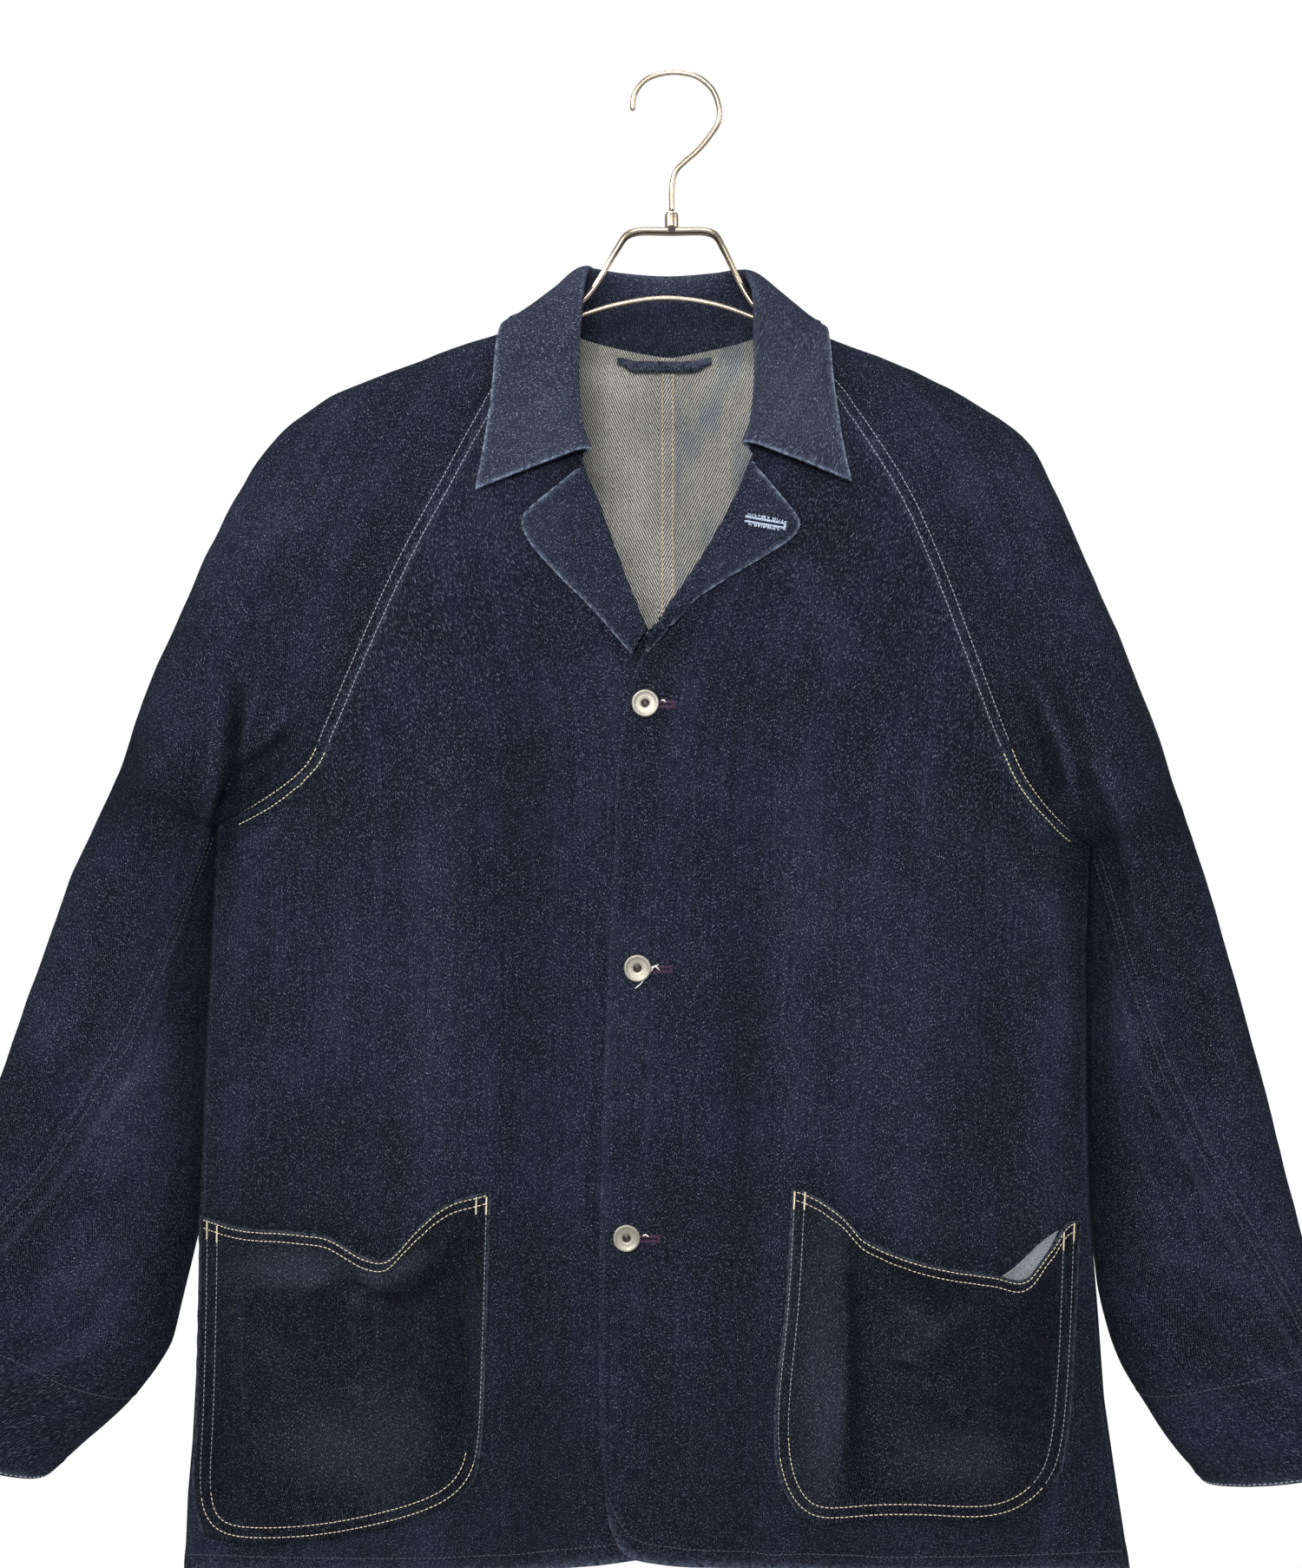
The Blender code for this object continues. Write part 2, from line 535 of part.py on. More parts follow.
def pocket(side, panel, finish, parent):
    """Patch pocket that hangs open a little at its mouth."""
    flat = patch(POCKET[side], POCKET_ROWS, POCKET_COLUMNS)
    u = np.linspace(0, 1, POCKET_COLUMNS)[None, :]
    v = np.linspace(0, 1, POCKET_ROWS)[:, None]
    sag = POCKET_SAG * np.sin(np.pi * u) ** 0.8 * (1 - v) ** 1.5 + 2.5 * np.sin(np.pi * u) * np.sin(np.pi * v)
    return on_front(f"pocket_{side}", side, flat, POCKET_SEAT + sag, panel, finish, parent)


def collar_base(pieces):
    """The whole neck seam as one line, with the outward direction of the cloth along it."""
    line, ways = [], []
    order = [("front_right", 1), ("sleeve_right", 1), ("back_right", -1),
             ("back_left", 1), ("sleeve_left", -1), ("front_left", -1)]
    for name, turn in order:
        grid, normal = pieces[name]
        line.append(grid[0, ::turn])
        ways.append(normal[0, ::turn])
    line, ways = np.vstack(line), np.vstack(ways)
    length = np.concatenate([[0], np.cumsum(np.linalg.norm(np.diff(line, axis=0), axis=1))])
    quarter = len(line) // 4
    half = np.interp(CENTRE_BACK, line[quarter:-quarter, 0], length[quarter:-quarter])
    share = np.where(length < half, length / half / 2, 0.5 + (length - half) / (length[-1] - half) / 2)
    at = np.linspace(0, 1, COLLAR_STATIONS)
    read = [np.stack([np.interp(at, share, values[:, k]) for k in range(3)], axis=1)
            for values in (line, ways)]
    return at, read[0], read[1]


def collar_line(table, at):
    """One line of the collar, from the right front end round the back to the left front end."""
    right = np.array(table["right"], float)
    left = np.array(table["left"], float)[-2::-1] * [-1, 1, 1, 1] + [2, 0, 0, 0]
    keys = np.vstack([right, left])
    return through(keys[:, 0] / 2, sight(keys[:, 1], keys[:, 2], keys[:, 3]), at)


def collar(pieces, finish, parent):
    """One-piece collar: a stand that rises from the neck seam, a turned roll, and the leaf."""
    at, seam, ways = collar_base(pieces)
    roll, edge = collar_line(COLLAR_ROLL, at), collar_line(COLLAR_EDGE, at)
    tangent = np.gradient(roll, axis=0)
    tangent /= np.linalg.norm(tangent, axis=1, keepdims=True)
    up = roll - (seam + edge) / 2
    up -= tangent * (up * tangent).sum(axis=1, keepdims=True)
    up /= np.linalg.norm(up, axis=1, keepdims=True)
    out = np.cross(tangent, up)
    middle = np.array([CENTRE_BACK, 0, 0])
    facing = ((edge - middle) * [1, 1, 0] * out).sum(axis=1, keepdims=True)
    out *= np.where(facing > 0, 1, -1)
    base = seam + ways * WALL
    base += (roll - base) / np.linalg.norm(roll - base, axis=1, keepdims=True) * COLLAR_GAP
    stand = roll - out * COLLAR_FOLD
    leaf = roll + out * COLLAR_FOLD
    rows = [base, base + (stand - base) * 0.5 - out * 0.4, stand,
            roll + up * COLLAR_FOLD, leaf, leaf + (edge - leaf) * 0.33 + out * 2.2,
            leaf + (edge - leaf) * 0.68 + out * 1.6, edge]
    grid = np.stack(rows, axis=1)
    grid[0] += (grid[1] - grid[0]) * 0.14
    grid[-1] += (grid[-2] - grid[-1]) * 0.14
    away = np.zeros_like(grid)
    away[:, 3:] = out[:, None]
    away[:, 3] = up
    normals = outwards(grid, away)
    normals[:, 0] = -ways
    return shell("collar", grid, normals, finish, parent)


def turned(name, profile, sides, place, axis, finish, parent):
    """Solid turned round an axis, from a profile of (radius, height) that starts and ends on it."""
    axis = axis / np.linalg.norm(axis)
    side_way = np.cross(axis, [0, 0, 1.0])
    side_way /= np.linalg.norm(side_way)
    other = np.cross(axis, side_way)
    turn = np.arange(sides) * 2 * np.pi / sides
    points = [place + axis * profile[0][1]]
    for radius, height in profile[1:-1]:
        points.extend(place + axis * height + radius * (np.cos(a) * side_way + np.sin(a) * other)
                      for a in turn)
    points.append(place + axis * profile[-1][1])
    faces, rings = [], len(profile) - 2
    for k in range(sides):
        after = (k + 1) % sides
        faces.append((0, 1 + after, 1 + k))
        faces.extend((1 + r * sides + k, 1 + r * sides + after, 1 + (r + 1) * sides + after,
                      1 + (r + 1) * sides + k) for r in range(rings - 1))
        last = 1 + (rings - 1) * sides
        faces.append((last + k, last + after, len(points) - 1))
    return mesh_object(name, points, faces, finish, parent)


def button(number, place, finish, parent):
    """Ring-shaped metal button, seated on the over front."""
    here, normal = front_point("left", np.array([place[0]]), np.array([place[1]]))
    axis = normal[0] * [0.4, 1, 0.4]
    axis /= np.linalg.norm(axis)
    seat = here[0] + axis * (WALL + 0.3)
    return turned(f"button_{number}", BUTTON_PROFILE, BUTTON_SIDES, seat, axis, finish, parent)


def hanging_loop(finish, parent):
    """Narrow loop of folded denim under the neck seam, inside the back."""
    x = np.linspace(LOOP_LEFT, LOOP_RIGHT, 9)[None, :]
    z = np.linspace(LOOP_TOP, LOOP_BOTTOM, 3)[:, None]
    x, z = np.broadcast_arrays(x, z)
    inner = np.stack([x, back_depth(x, z) - LOOP_DEPTH, z], axis=-1)
    normals = np.zeros_like(inner)
    normals[..., 1] = 1
    return shell("hanging_loop", inner, normals, finish, parent, wall=1.2)


def wire(name, keys, count, radius, finish, parent):
    """Round wire through the keys in the hanger's plane, as a bevelled curve with filled ends."""
    curve = bpy.data.curves.new(name, "CURVE")
    curve.dimensions = "3D"
    curve.bevel_depth = radius * MM
    curve.bevel_resolution = 2
    curve.use_fill_caps = True
    line = curve.splines.new("POLY")
    points = along(keys, count)
    line.points.add(count - 1)
    for point, (x, z) in zip(line.points, points):
        point.co = (x * MM, 0, z * MM, 1)
    curve.materials.append(finish)
    made = bpy.data.objects.new(name, curve)
    bpy.context.scene.collection.objects.link(made)
    made.parent = parent
    return made


def strip(finish, parent):
    """Pressed metal strip of the hanger: the neck's bridge and both arms."""
    count = 45
    points = along(STRIP, count)
    tangent = np.gradient(points, axis=0)
    tangent /= np.linalg.norm(tangent, axis=1, keepdims=True)
    under = np.stack([tangent[:, 1], -tangent[:, 0]], axis=1)
    depth = np.interp(np.abs(points[:, 0] + 5.6), [34, 46], [STRIP_DEPTH, ARM_DEPTH])
    widths = np.array([-1.0, -0.5, 0.5, 1.0])
    x = np.repeat(points[:, :1], 4, axis=1)
    z = points[:, 1:] - 0.5 * widths ** 4
    grid = np.stack([x, depth[:, None] * widths, z], axis=-1)
    normals = np.repeat(np.stack([under[:, 0], 0 * depth, under[:, 1]], axis=1)[:, None], 4, axis=1)
    return shell("hanger_strip", grid, normals, finish, parent, wall=STRIP_THICK)


def clear_scene():
    for item in list(bpy.data.objects):
        bpy.data.objects.remove(item, do_unlink=True)


def body_pieces():
    """Grids and outward directions of fronts, backs and sleeves, matched along their seams."""
    pieces = {}
    for side in ("right", "left"):
        front = front_grid(side)
        back = back_grid(side, front)
        sleeve = sleeve_grid(side, front, back)
        axis = (sleeve[:, :1] + sleeve[:, SLEEVE_COLUMNS // 2:SLEEVE_COLUMNS // 2 + 1]) / 2
        front_way = outwards(front, np.array([0, -1.0, 0]))
        back_way = outwards(back, np.array([0, 1.0, 0]))
        sleeve_way = outwards(sleeve, sleeve - axis)
        share_normals(front_way[CAP_ROWS + 1:, -1], back_way[CAP_ROWS + 1:, -1])
        share_normals(sleeve_way[CAP_ROWS + 1:, 0], sleeve_way[CAP_ROWS + 1:, -1])
        share_normals(front_way[:CAP_ROWS, -1], sleeve_way[:CAP_ROWS, 0])
        share_normals(back_way[:CAP_ROWS, -1], sleeve_way[:CAP_ROWS, -1])
        front_way[CAP_ROWS, -1] = sleeve_way[CAP_ROWS, 0] = UNDERARM_WAY * [1, -1, 1]
        back_way[CAP_ROWS, -1] = sleeve_way[CAP_ROWS, -1] = UNDERARM_WAY
        back_way[:, 0] = [0, 1, 0]
        back[:, 0, 0] += HALF_GAP * (-1 if side == "right" else 1)
        above, below = np.s_[:CAP_ROWS + 1], np.s_[CAP_ROWS + 1:]
        part_seam(front[above, -1], front[above, -2], sleeve[above, 0], sleeve[above, 1])
        part_seam(back[above, -1], back[above, -2], sleeve[above, -1], sleeve[above, -2])
        part_seam(front[below, -1], front[below, -2], back[below, -1], back[below, -2])
        for grid, column, turn in ((front, -1, -1), (sleeve, 0, -1), (back, -1, 1), (sleeve, -1, 1)):
            grid[CAP_ROWS, column, 1] += turn * HALF_GAP
        pieces[f"front_{side}"] = (front, front_way)
        pieces[f"back_{side}"] = (back, back_way)
        pieces[f"sleeve_{side}"] = (sleeve, sleeve_way)
    return pieces


def main():
    clear_scene()
    root = bpy.data.objects.new("jacket", None)
    bpy.context.scene.collection.objects.link(root)
    denim = material("denim", (0.014, 0.017, 0.032), 0.9)
    collar_denim = material("collar_denim", (0.026, 0.034, 0.072), 0.88)
    metal_button = material("button_metal", (0.42, 0.39, 0.30), 0.4, 1.0)
    hanger_metal = material("hanger_metal", (0.55, 0.47, 0.36), 0.3, 1.0)
    pieces = body_pieces()
    for name, (grid, ways) in pieces.items():
        shell(name, grid, ways, denim, root)
    collar(pieces, collar_denim, root)
    for side in ("right", "left"):
        lapel(side, pieces[f"front_{side}"], collar_denim, root)
        pocket(side, pieces[f"front_{side}"], denim, root)
    for number, place in enumerate(BUTTON_PLACES, start=1):
        button(number, place, metal_button, root)
    hanging_loop(denim, root)
    wire("hanger_hook", HOOK, 44, HOOK_WIRE, hanger_metal, root)
    wire("hanger_rod", ROD, 40, ROD_RADIUS, hanger_metal, root)
    ferrule = [(0, 0), (FERRULE_RADIUS, 0), (FERRULE_RADIUS, FERRULE_TOP - FERRULE_BOTTOM),
               (0, FERRULE_TOP - FERRULE_BOTTOM)]
    turned("hanger_ferrule", ferrule, 20, np.array([-5.6, 0, FERRULE_BOTTOM]),
           np.array([0.0001, 0, 1.0]), hanger_metal, root)
    strip(hanger_metal, root)


main()
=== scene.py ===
# %% [markdown]
# # A denim work jacket on its hanger
#
# This lesson dresses the solid model of a raglan-sleeved denim jacket. The solids say where every cut
# piece hangs, in metres, with +Z up and the front towards -Y. Here each piece is made again as a fine
# sheet of denim, with its folds, seams, stitches, worn edges and paler wrong side, and the metal
# parts get their turned and pressed shapes. Every surface is a formula on a grid of points.

# %% Load the solids
import json

import bpy
import numpy as np
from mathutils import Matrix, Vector
from mathutils.bvhtree import BVHTree

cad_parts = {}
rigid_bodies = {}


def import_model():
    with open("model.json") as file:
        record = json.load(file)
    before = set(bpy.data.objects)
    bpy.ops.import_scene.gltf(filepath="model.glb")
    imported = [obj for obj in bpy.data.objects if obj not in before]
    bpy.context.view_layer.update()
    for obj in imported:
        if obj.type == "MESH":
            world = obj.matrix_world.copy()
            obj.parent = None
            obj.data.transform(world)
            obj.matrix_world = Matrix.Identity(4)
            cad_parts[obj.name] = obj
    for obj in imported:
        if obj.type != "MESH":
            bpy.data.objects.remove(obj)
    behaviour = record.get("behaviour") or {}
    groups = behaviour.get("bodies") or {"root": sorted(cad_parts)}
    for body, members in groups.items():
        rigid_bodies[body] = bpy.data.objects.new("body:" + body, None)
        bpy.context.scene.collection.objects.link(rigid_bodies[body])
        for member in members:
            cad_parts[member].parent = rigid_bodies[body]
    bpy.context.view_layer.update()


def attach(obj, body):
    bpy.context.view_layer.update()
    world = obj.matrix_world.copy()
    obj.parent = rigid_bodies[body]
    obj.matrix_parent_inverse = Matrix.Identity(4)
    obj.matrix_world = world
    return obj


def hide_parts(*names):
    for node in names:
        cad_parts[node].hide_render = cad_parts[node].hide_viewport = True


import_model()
for spare in [o for o in bpy.data.objects if o.name in ("Cube", "Light", "Camera")]:
    bpy.data.objects.remove(spare, do_unlink=True)

# %% [markdown]
# ## The pattern
#
# A pattern cutter's numbers are millimetres. The outlines are written as they are seen from one
# point, EYE, in the plane of the hanger, because that is how a hanging garment is measured from a
# picture. They are the same values that the solids were built from, so the fine cloth lies on them.

# %% Driving sizes, in millimetres
MM = 0.001
EYE = np.array([-19.0, -1600.0, -457.0])
CLOTH = 1.3                     # one layer of heavy denim
COARSE_CAP, COARSE_TUBE, COARSE_BODY = 11, 11, 10      # rows that the shape rules count in
CAP_ROWS, BODY_ROWS, TUBE_ROWS = 96, 128, 118          # rows of the fine sheets
FRONT_COLUMNS, BACK_COLUMNS, SLEEVE_COLUMNS = 92, 62, 145
CENTRE_BACK = -8.0
SIDE_CURVE = 2.6
SET_BACK = 2.5
UNDERARM_WAY = np.array([0, 0.71, -0.71])
DEPTH_HEIGHTS = [-152, -166, -178, -204, -225, -260, -320, -400, -550, -750, -966]
FRONT_DEPTHS = [10, 17, 24, 36, 44, 52, 60, 66, 65, 60, 55]
BACK_DEPTHS = [20, 36, 47, 53, 56, 58, 60, 60, 56, 50, 45]
LIMITS = {
    "right": [(-87, -153), (-108, -162), (-160, -183), (-229, -211), (-264, -239), (-281, -266),
              (-291, -300), (-296, -400), (-297.5, -483), (-301.5, -567), (-305.5, -651), (-308.5, -735),
              (-310, -825), (-313, -881), (-316, -915), (-318, -966)],
    "left": [(69, -155), (90, -165), (128, -183), (187, -211), (223, -239), (238, -266), (248, -300),
             (257, -400), (263.5, -497), (260.5, -567), (260.5, -651), (262.5, -735), (267.5, -797),
             (271.5, -853), (279.5, -909), (288, -966)],
}
FRONT_RAGLAN = {
    "right": [(-91, -171), (-106, -182), (-124, -205), (-157, -263), (-182, -309), (-212, -375),
              (-231, -420), (-242, -444), (-265, -464), (-297.5, -483)],
    "left": [(72, -173), (84, -181), (99, -195), (127, -232), (150, -269), (170, -314), (187, -359),
             (212, -426), (223, -452), (242, -478), (263.5, -497)],
}
BACK_RAGLAN = {
    "right": [(-74, -161), (-96, -190), (-128, -240), (-165, -305), (-205, -375), (-243, -435),
              (-272, -467), (-297.5, -483)],
    "left": [(56, -162), (76, -190), (104, -240), (137, -305), (174, -380), (208, -445), (237, -479),
             (263.5, -497)],
}
NECK_SEAM = {
    "right": [(-64, -247), (-73, -222), (-83, -196), (-91, -171)],
    "left": [(47, -244), (56, -220), (65, -196), (72, -173)],
}
UPPER_EDGE = {
    "right": [(-64, -247), (-53, -275), (-41, -308), (-27, -345), (-17, -366), (-3, -395), (3, -430),
              (4, -483)],
    "left": [(47, -244), (36, -270), (17, -305), (-4, -338), (-18, -362), (-28, -381), (-34, -400),
             (-40, -436), (-42.5, -497)],
}
LOWER_EDGE = {
    "right": [(4, -483), (3, -600), (0, -750), (-2, -880), (-3, -953)],
    "left": [(-42.5, -497), (-46, -567), (-52, -752), (-51.5, -875), (-48, -922)],
}
HEM = {
    "right": [(-3, -953), (-60, -961), (-140, -965), (-240, -966), (-318, -966)],
    "left": [(-48, -922), (-44, -940), (-35, -954), (-12, -960), (60, -963), (180, -965), (288, -964)],
}
LAPEL_ROLL = {
    "right": [(-63, -252), (-52, -281), (-40, -314), (-22, -357)],
    "left": [(46, -250), (35, -274), (16, -308), (-17, -357)],
}
LAPEL_EDGE = {
    "right": [(-104, -286), (-97, -302), (-81, -320), (-56, -345), (-31, -373)],
    "left": [(79, -290), (70, -300), (27, -326), (5, -341), (-22, -371)],
}
SLEEVE_TOP = {
    "right": [(-87, -154), (-112, -166.5), (-160, -183), (-229, -211), (-264, -239), (-281, -266),
              (-295, -294), (-322, -350), (-346, -405), (-366, -452)],
    "left": [(69, -156), (92, -168.5), (128, -183), (187, -211), (223, -239), (238, -266), (251, -294),
             (274, -349), (297, -405), (324, -470)],
}
SLEEVE_OUTER = {
    "right": [(-366, -452), (-390, -517), (-431, -629), (-472, -741), (-488, -797), (-499, -859)],
    "left": [(324, -470), (337, -517), (368, -629), (396, -741), (410, -797), (433, -893)],
}
SLEEVE_INNER = {
    "right": [(-297.5, -483, 0), (-298.5, -490, 10), (-300, -516, 28), (-302, -560, 38),
              (-309, -651, 36), (-315, -735, 34), (-326, -785, 31), (-338, -828, 28), (-363, -862, 24),
              (-387, -884, 22), (-411, -902, 20)],
    "left": [(263.5, -497, 0), (264.5, -504, 10), (265.5, -530, 28), (265, -575, 38), (266, -651, 36),
             (271, -735, 34), (277, -790, 31), (290, -835, 28), (310, -868, 24), (326, -890, 22),
             (344, -911, 20)],
}
CUFF_MIDDLE_Z = {"right": -889, "left": -901}
SLEEVE_DEPTHS = [48, 50, 48, 45, 42, 41, 40]
SEAM_TURNS = [0, 34, 62, 85, 104, 124, 142, 152]
POCKET = {
    "right": {
        "mouth": [(-307, -735), (-281, -742), (-247, -744), (-224, -746.5), (-200, -760),
                  (-184, -762), (-166, -741), (-151, -727), (-123, -719)],
        "inner": [(-123, -719), (-126, -820), (-129, -885), (-133, -905), (-144, -918)],
        "bottom": [(-144, -918), (-160, -926), (-190, -935), (-240, -944), (-294, -944),
                   (-307, -939)],
        "outer": [(-307, -735), (-308, -800), (-310, -870), (-312, -915), (-307, -939)],
    },
    "left": {
        "mouth": [(72, -717), (91, -725), (121, -749), (158, -765), (198, -772), (218, -775),
                  (235, -757), (247, -740), (256, -738)],
        "inner": [(72, -717), (68, -790), (61, -870), (64, -905), (76, -929)],
        "bottom": [(76, -929), (90, -934), (112, -931), (155, -930), (193, -932), (216, -928),
                   (236, -914)],
        "outer": [(256, -738), (252, -836), (248, -880), (244, -900), (236, -914)],
    },
}
FRONT_FOLDS = [
    (-150, -400, -165, -930, 26, 9), (-97, -330, -88, -930, 22, -8), (-232, -520, -240, -930, 24, -5),
    (48, -400, 46, -930, 16, -6), (68, -400, 64, -930, 16, 7), (150, -430, 158, -930, 34, 5),
    (226, -470, 248, -930, 15, 6), (113, -640, 112, -960, 12, -3),
]
BACK_FOLDS = [
    (-190, -330, -215, -950, 34, 7), (-120, -330, -112, -950, 30, -6), (-55, -300, -58, -950, 26, 5),
    (45, -300, 40, -950, 28, 5), (105, -330, 98, -950, 30, -6), (170, -330, 195, -950, 34, 7),
]
SLEEVE_FOLDS = {
    "right": [(-249, -300, -302, -520, 13, -10), (-330, -420, -352, -700, 22, 5),
              (-372, -560, -420, -840, 16, -6)],
    "left": [(207, -340, 236, -470, 12, -10), (262, -400, 300, -640, 18, 5),
             (300, -560, 340, -840, 18, -6)],
}
COLLAR_ROLL = {
    "right": [(0, -62, -242, -53), (0.1, -65.5, -229, -49), (0.25, -68.5, -205, -40),
              (0.43, -68, -170, -27), (0.53, -65, -137, -10), (0.6, -62, -126.5, 5),
              (0.68, -57, -127.5, 20), (0.84, -37.5, -131, 36), (1, -8.3, -133, 41)],
    "left": [(0, 44, -238, -53), (0.1, 47.5, -226, -49), (0.25, 50.5, -203, -40),
             (0.43, 50.5, -170, -27), (0.53, 49, -139, -11), (0.6, 44.5, -129.5, 4),
             (0.68, 39, -128.5, 20), (0.84, 21, -131, 36), (1, -8.3, -133, 41)],
}
COLLAR_EDGE = {
    "right": [(0, -132, -267, -57), (0.1, -127, -240, -53), (0.22, -123, -215, -47),
              (0.34, -120.5, -193, -38), (0.44, -118, -170, -22), (0.53, -113, -160.5, 2),
              (0.67, -96, -175, 39), (0.84, -54.5, -196, 60), (1, -8.4, -202, 63)],
    "left": [(0, 110, -262, -57), (0.1, 105, -240, -53), (0.22, 101, -215, -47), (0.34, 98, -193, -38),
             (0.44, 96, -172, -22), (0.53, 93, -163, 2), (0.67, 79, -176, 39), (0.84, 37.5, -196, 60),
             (1, -8.4, -202, 63)],
}
COLLAR_FOLD = 2.2
BUTTON_PLACES = [(-22.7, -404.9), (-27.8, -575.7), (-34.8, -749.6)]
BUTTONHOLE_ENDS = [-4.0, -6.0, -14.0]
HOOK = [(-31, -23), (-29.5, -12), (-22.5, -3), (-11, 1.4), (0, 1.8), (11, -1), (20.5, -9),
        (25, -21), (24.5, -30), (19, -39), (10.6, -49), (3, -55.5), (-3, -62), (-5.2, -70), (-5.6, -88)]
STRIP = [(-203, -200.9), (-160, -183.9), (-112, -167.6), (-88, -158.3), (-68, -147), (-58, -137),
         (-42, -111), (-36, -102.5), (-29, -99.5), (-5.6, -99.2), (18, -99.5), (24, -102.5),
         (29, -111), (42, -137), (51, -149.5), (70, -161), (94, -170), (128, -184.6), (163, -199.3)]
ROD = [(-196, -204.6), (-160, -191), (-110, -172), (-67.5, -155.6), (-40, -147.5), (-10.6, -143.5),
       (20, -147), (47.6, -156), (90, -175), (125, -190.6), (156, -204)]
SIDES = ("right", "left")

# %% [markdown]
# ## Curves and folds
#
# Cloth follows smooth lines. A piecewise cubic goes through the cutter's points, and it is read again
# at even steps of its own length. A fold is a bell-shaped ridge along a line, faded at both ends.

# %% Curve helpers


def smoothstep(low, high, value):
    """0 below low, 1 above high, and 3t^2 - 2t^3 between."""
    share = np.clip((np.asarray(value, float) - low) / (high - low), 0, 1)
    return share * share * (3 - 2 * share)


def through(places, points, at):
    """Cubic Hermite curve through points at the given places: tangents are weighted mean slopes."""
    places, points, at = np.asarray(places, float), np.asarray(points, float), np.asarray(at, float)
    steps = np.diff(places)[:, None]
    slopes = np.diff(points, axis=0) / steps
    tangents = np.vstack([slopes[:1], (slopes[:-1] * steps[1:] + slopes[1:] * steps[:-1])
                          / (steps[:-1] + steps[1:]), slopes[-1:]])
    k = np.clip(np.searchsorted(places, at, side="right") - 1, 0, len(places) - 2)
    h = steps[k]
    t = ((at - places[k])[:, None]) / h
    return ((2 * t ** 3 - 3 * t ** 2 + 1) * points[k] + (t ** 3 - 2 * t ** 2 + t) * h * tangents[k]
            + (3 * t ** 2 - 2 * t ** 3) * points[k + 1] + (t ** 3 - t ** 2) * h * tangents[k + 1])


def run_along(line):
    """Length of a line of points, up to each of them."""
    return np.concatenate([[0], np.cumsum(np.linalg.norm(np.diff(line, axis=0), axis=1))])


def read_at(places, line, at):
    """A line of points with known places, read at other places, straight from point to point."""
    return np.stack([np.interp(at, places, line[:, k]) for k in range(line.shape[1])], axis=1)


def resample(line, count):
    """A line of points read at count even steps of its length."""
    length = run_along(line)
    return read_at(length, line, np.linspace(0, length[-1], count))


def running_mean(line, width, keep_ends=False):
    """Mean of each width points, weighted as a bell. The ends are kept, or repeated beyond the line."""
    half = width // 2
    weights = np.hanning(width + 2)[1:-1]
    weights = weights / weights.sum()
    if not keep_ends:
        line = np.pad(line, ((half, half), (0, 0)), mode="edge")
    middle = np.stack([np.convolve(line[:, k], weights, "valid") for k in range(line.shape[1])], axis=1)
    return np.vstack([line[:half], middle, line[-half:]]) if keep_ends else middle


def along(keys, count):
    """Smooth curve through the keys, as count points at even steps of its length."""
    keys = np.asarray(keys, float)
    chords = np.concatenate([[0], np.cumsum(np.linalg.norm(np.diff(keys, axis=0), axis=1) ** 0.5)])
    return resample(through(chords, keys, np.linspace(0, chords[-1], 60 * len(keys))), count)


def unit(vectors):
    """The same directions, one long."""
    return vectors / (np.linalg.norm(vectors, axis=-1, keepdims=True) + 1e-9)


def sight(x, z, depth):
    """The point at this depth that is seen at (x, z): EYE plus a share of the line of sight."""
    share = (depth - EYE[1]) / -EYE[1]
    return np.stack([EYE[0] + (x - EYE[0]) * share, depth, EYE[2] + (z - EYE[2]) * share], axis=-1)


def seen(points):
    """Where points are seen in the hanger's plane: the reverse of sight()."""
    share = -EYE[1] / (points[..., 1] - EYE[1])
    return EYE[0] + (points[..., 0] - EYE[0]) * share, EYE[2] + (points[..., 2] - EYE[2]) * share


def folds(ridges, x, z):
    """Sum of bell-shaped ridges: rise times exp(-(distance / width)^2), faded at both ends."""
    height = np.zeros(np.broadcast(x, z).shape)
    for top_x, top_z, end_x, end_z, width, rise in ridges:
        share = (z - top_z) / (end_z - top_z)
        middle = top_x + (end_x - top_x) * share
        fade = smoothstep(-0.12, 0.25, share) * (1 - smoothstep(1.0, 1.25, share))
        height = height + rise * fade * np.exp(-((x - middle) / width) ** 2)
    return height


def creases(lines, x, z):
    """Short creases in any direction: a bell across each line, and a smooth rise and fall along it."""
    height = np.zeros(np.broadcast(x, z).shape)
    for x0, z0, x1, z1, width, rise in lines:
        way = np.array([x1 - x0, z1 - z0], float)
        length = np.hypot(*way)
        way /= length
        run = ((x - x0) * way[0] + (z - z0) * way[1]) / length
        off = (x - x0) * -way[1] + (z - z0) * way[0]
        bow = width * 0.8 * np.sin(np.pi * np.clip(run, 0, 1))
        fade = smoothstep(-0.15, 0.3, run) * (1 - smoothstep(0.7, 1.15, run))
        height = height + rise * fade * np.exp(-((off - bow) / width) ** 2)
    return height


def rumple(x, z, size, seed):
    """Soft random relief between -1 and 1: seeded values on a lattice, blended with smoothstep."""
    rng = np.random.default_rng(seed)
    table = rng.uniform(-1, 1, (64, 64))
    a, b = np.asarray(x) / size + 500, np.asarray(z) / (size * 1.6) + 500
    i, j = np.floor(a).astype(int), np.floor(b).astype(int)
    s, t = smoothstep(0, 1, a - i), smoothstep(0, 1, b - j)
    near = table[i % 64, j % 64] * (1 - s) + table[(i + 1) % 64, j % 64] * s
    far = table[i % 64, (j + 1) % 64] * (1 - s) + table[(i + 1) % 64, (j + 1) % 64] * s
    return near * (1 - t) + far * t


# %% [markdown]
# ## The body's section
#
# An empty jacket on a hanger is a flat tube. Across it, depth follows a superellipse: the depth at
# the middle times the square root of 1 - |s|^2.6, where s runs from side to side. The fronts and the
# back use the same rule, so they meet at the side seams.

# %% Fronts and backs


def limits(z):
    """Outer limits of the body at height z."""
    found = []
    for side in SIDES:
        keys = np.array(LIMITS[side], float)[::-1]
        found.append(np.interp(z, keys[:, 1], keys[:, 0]))
    return found


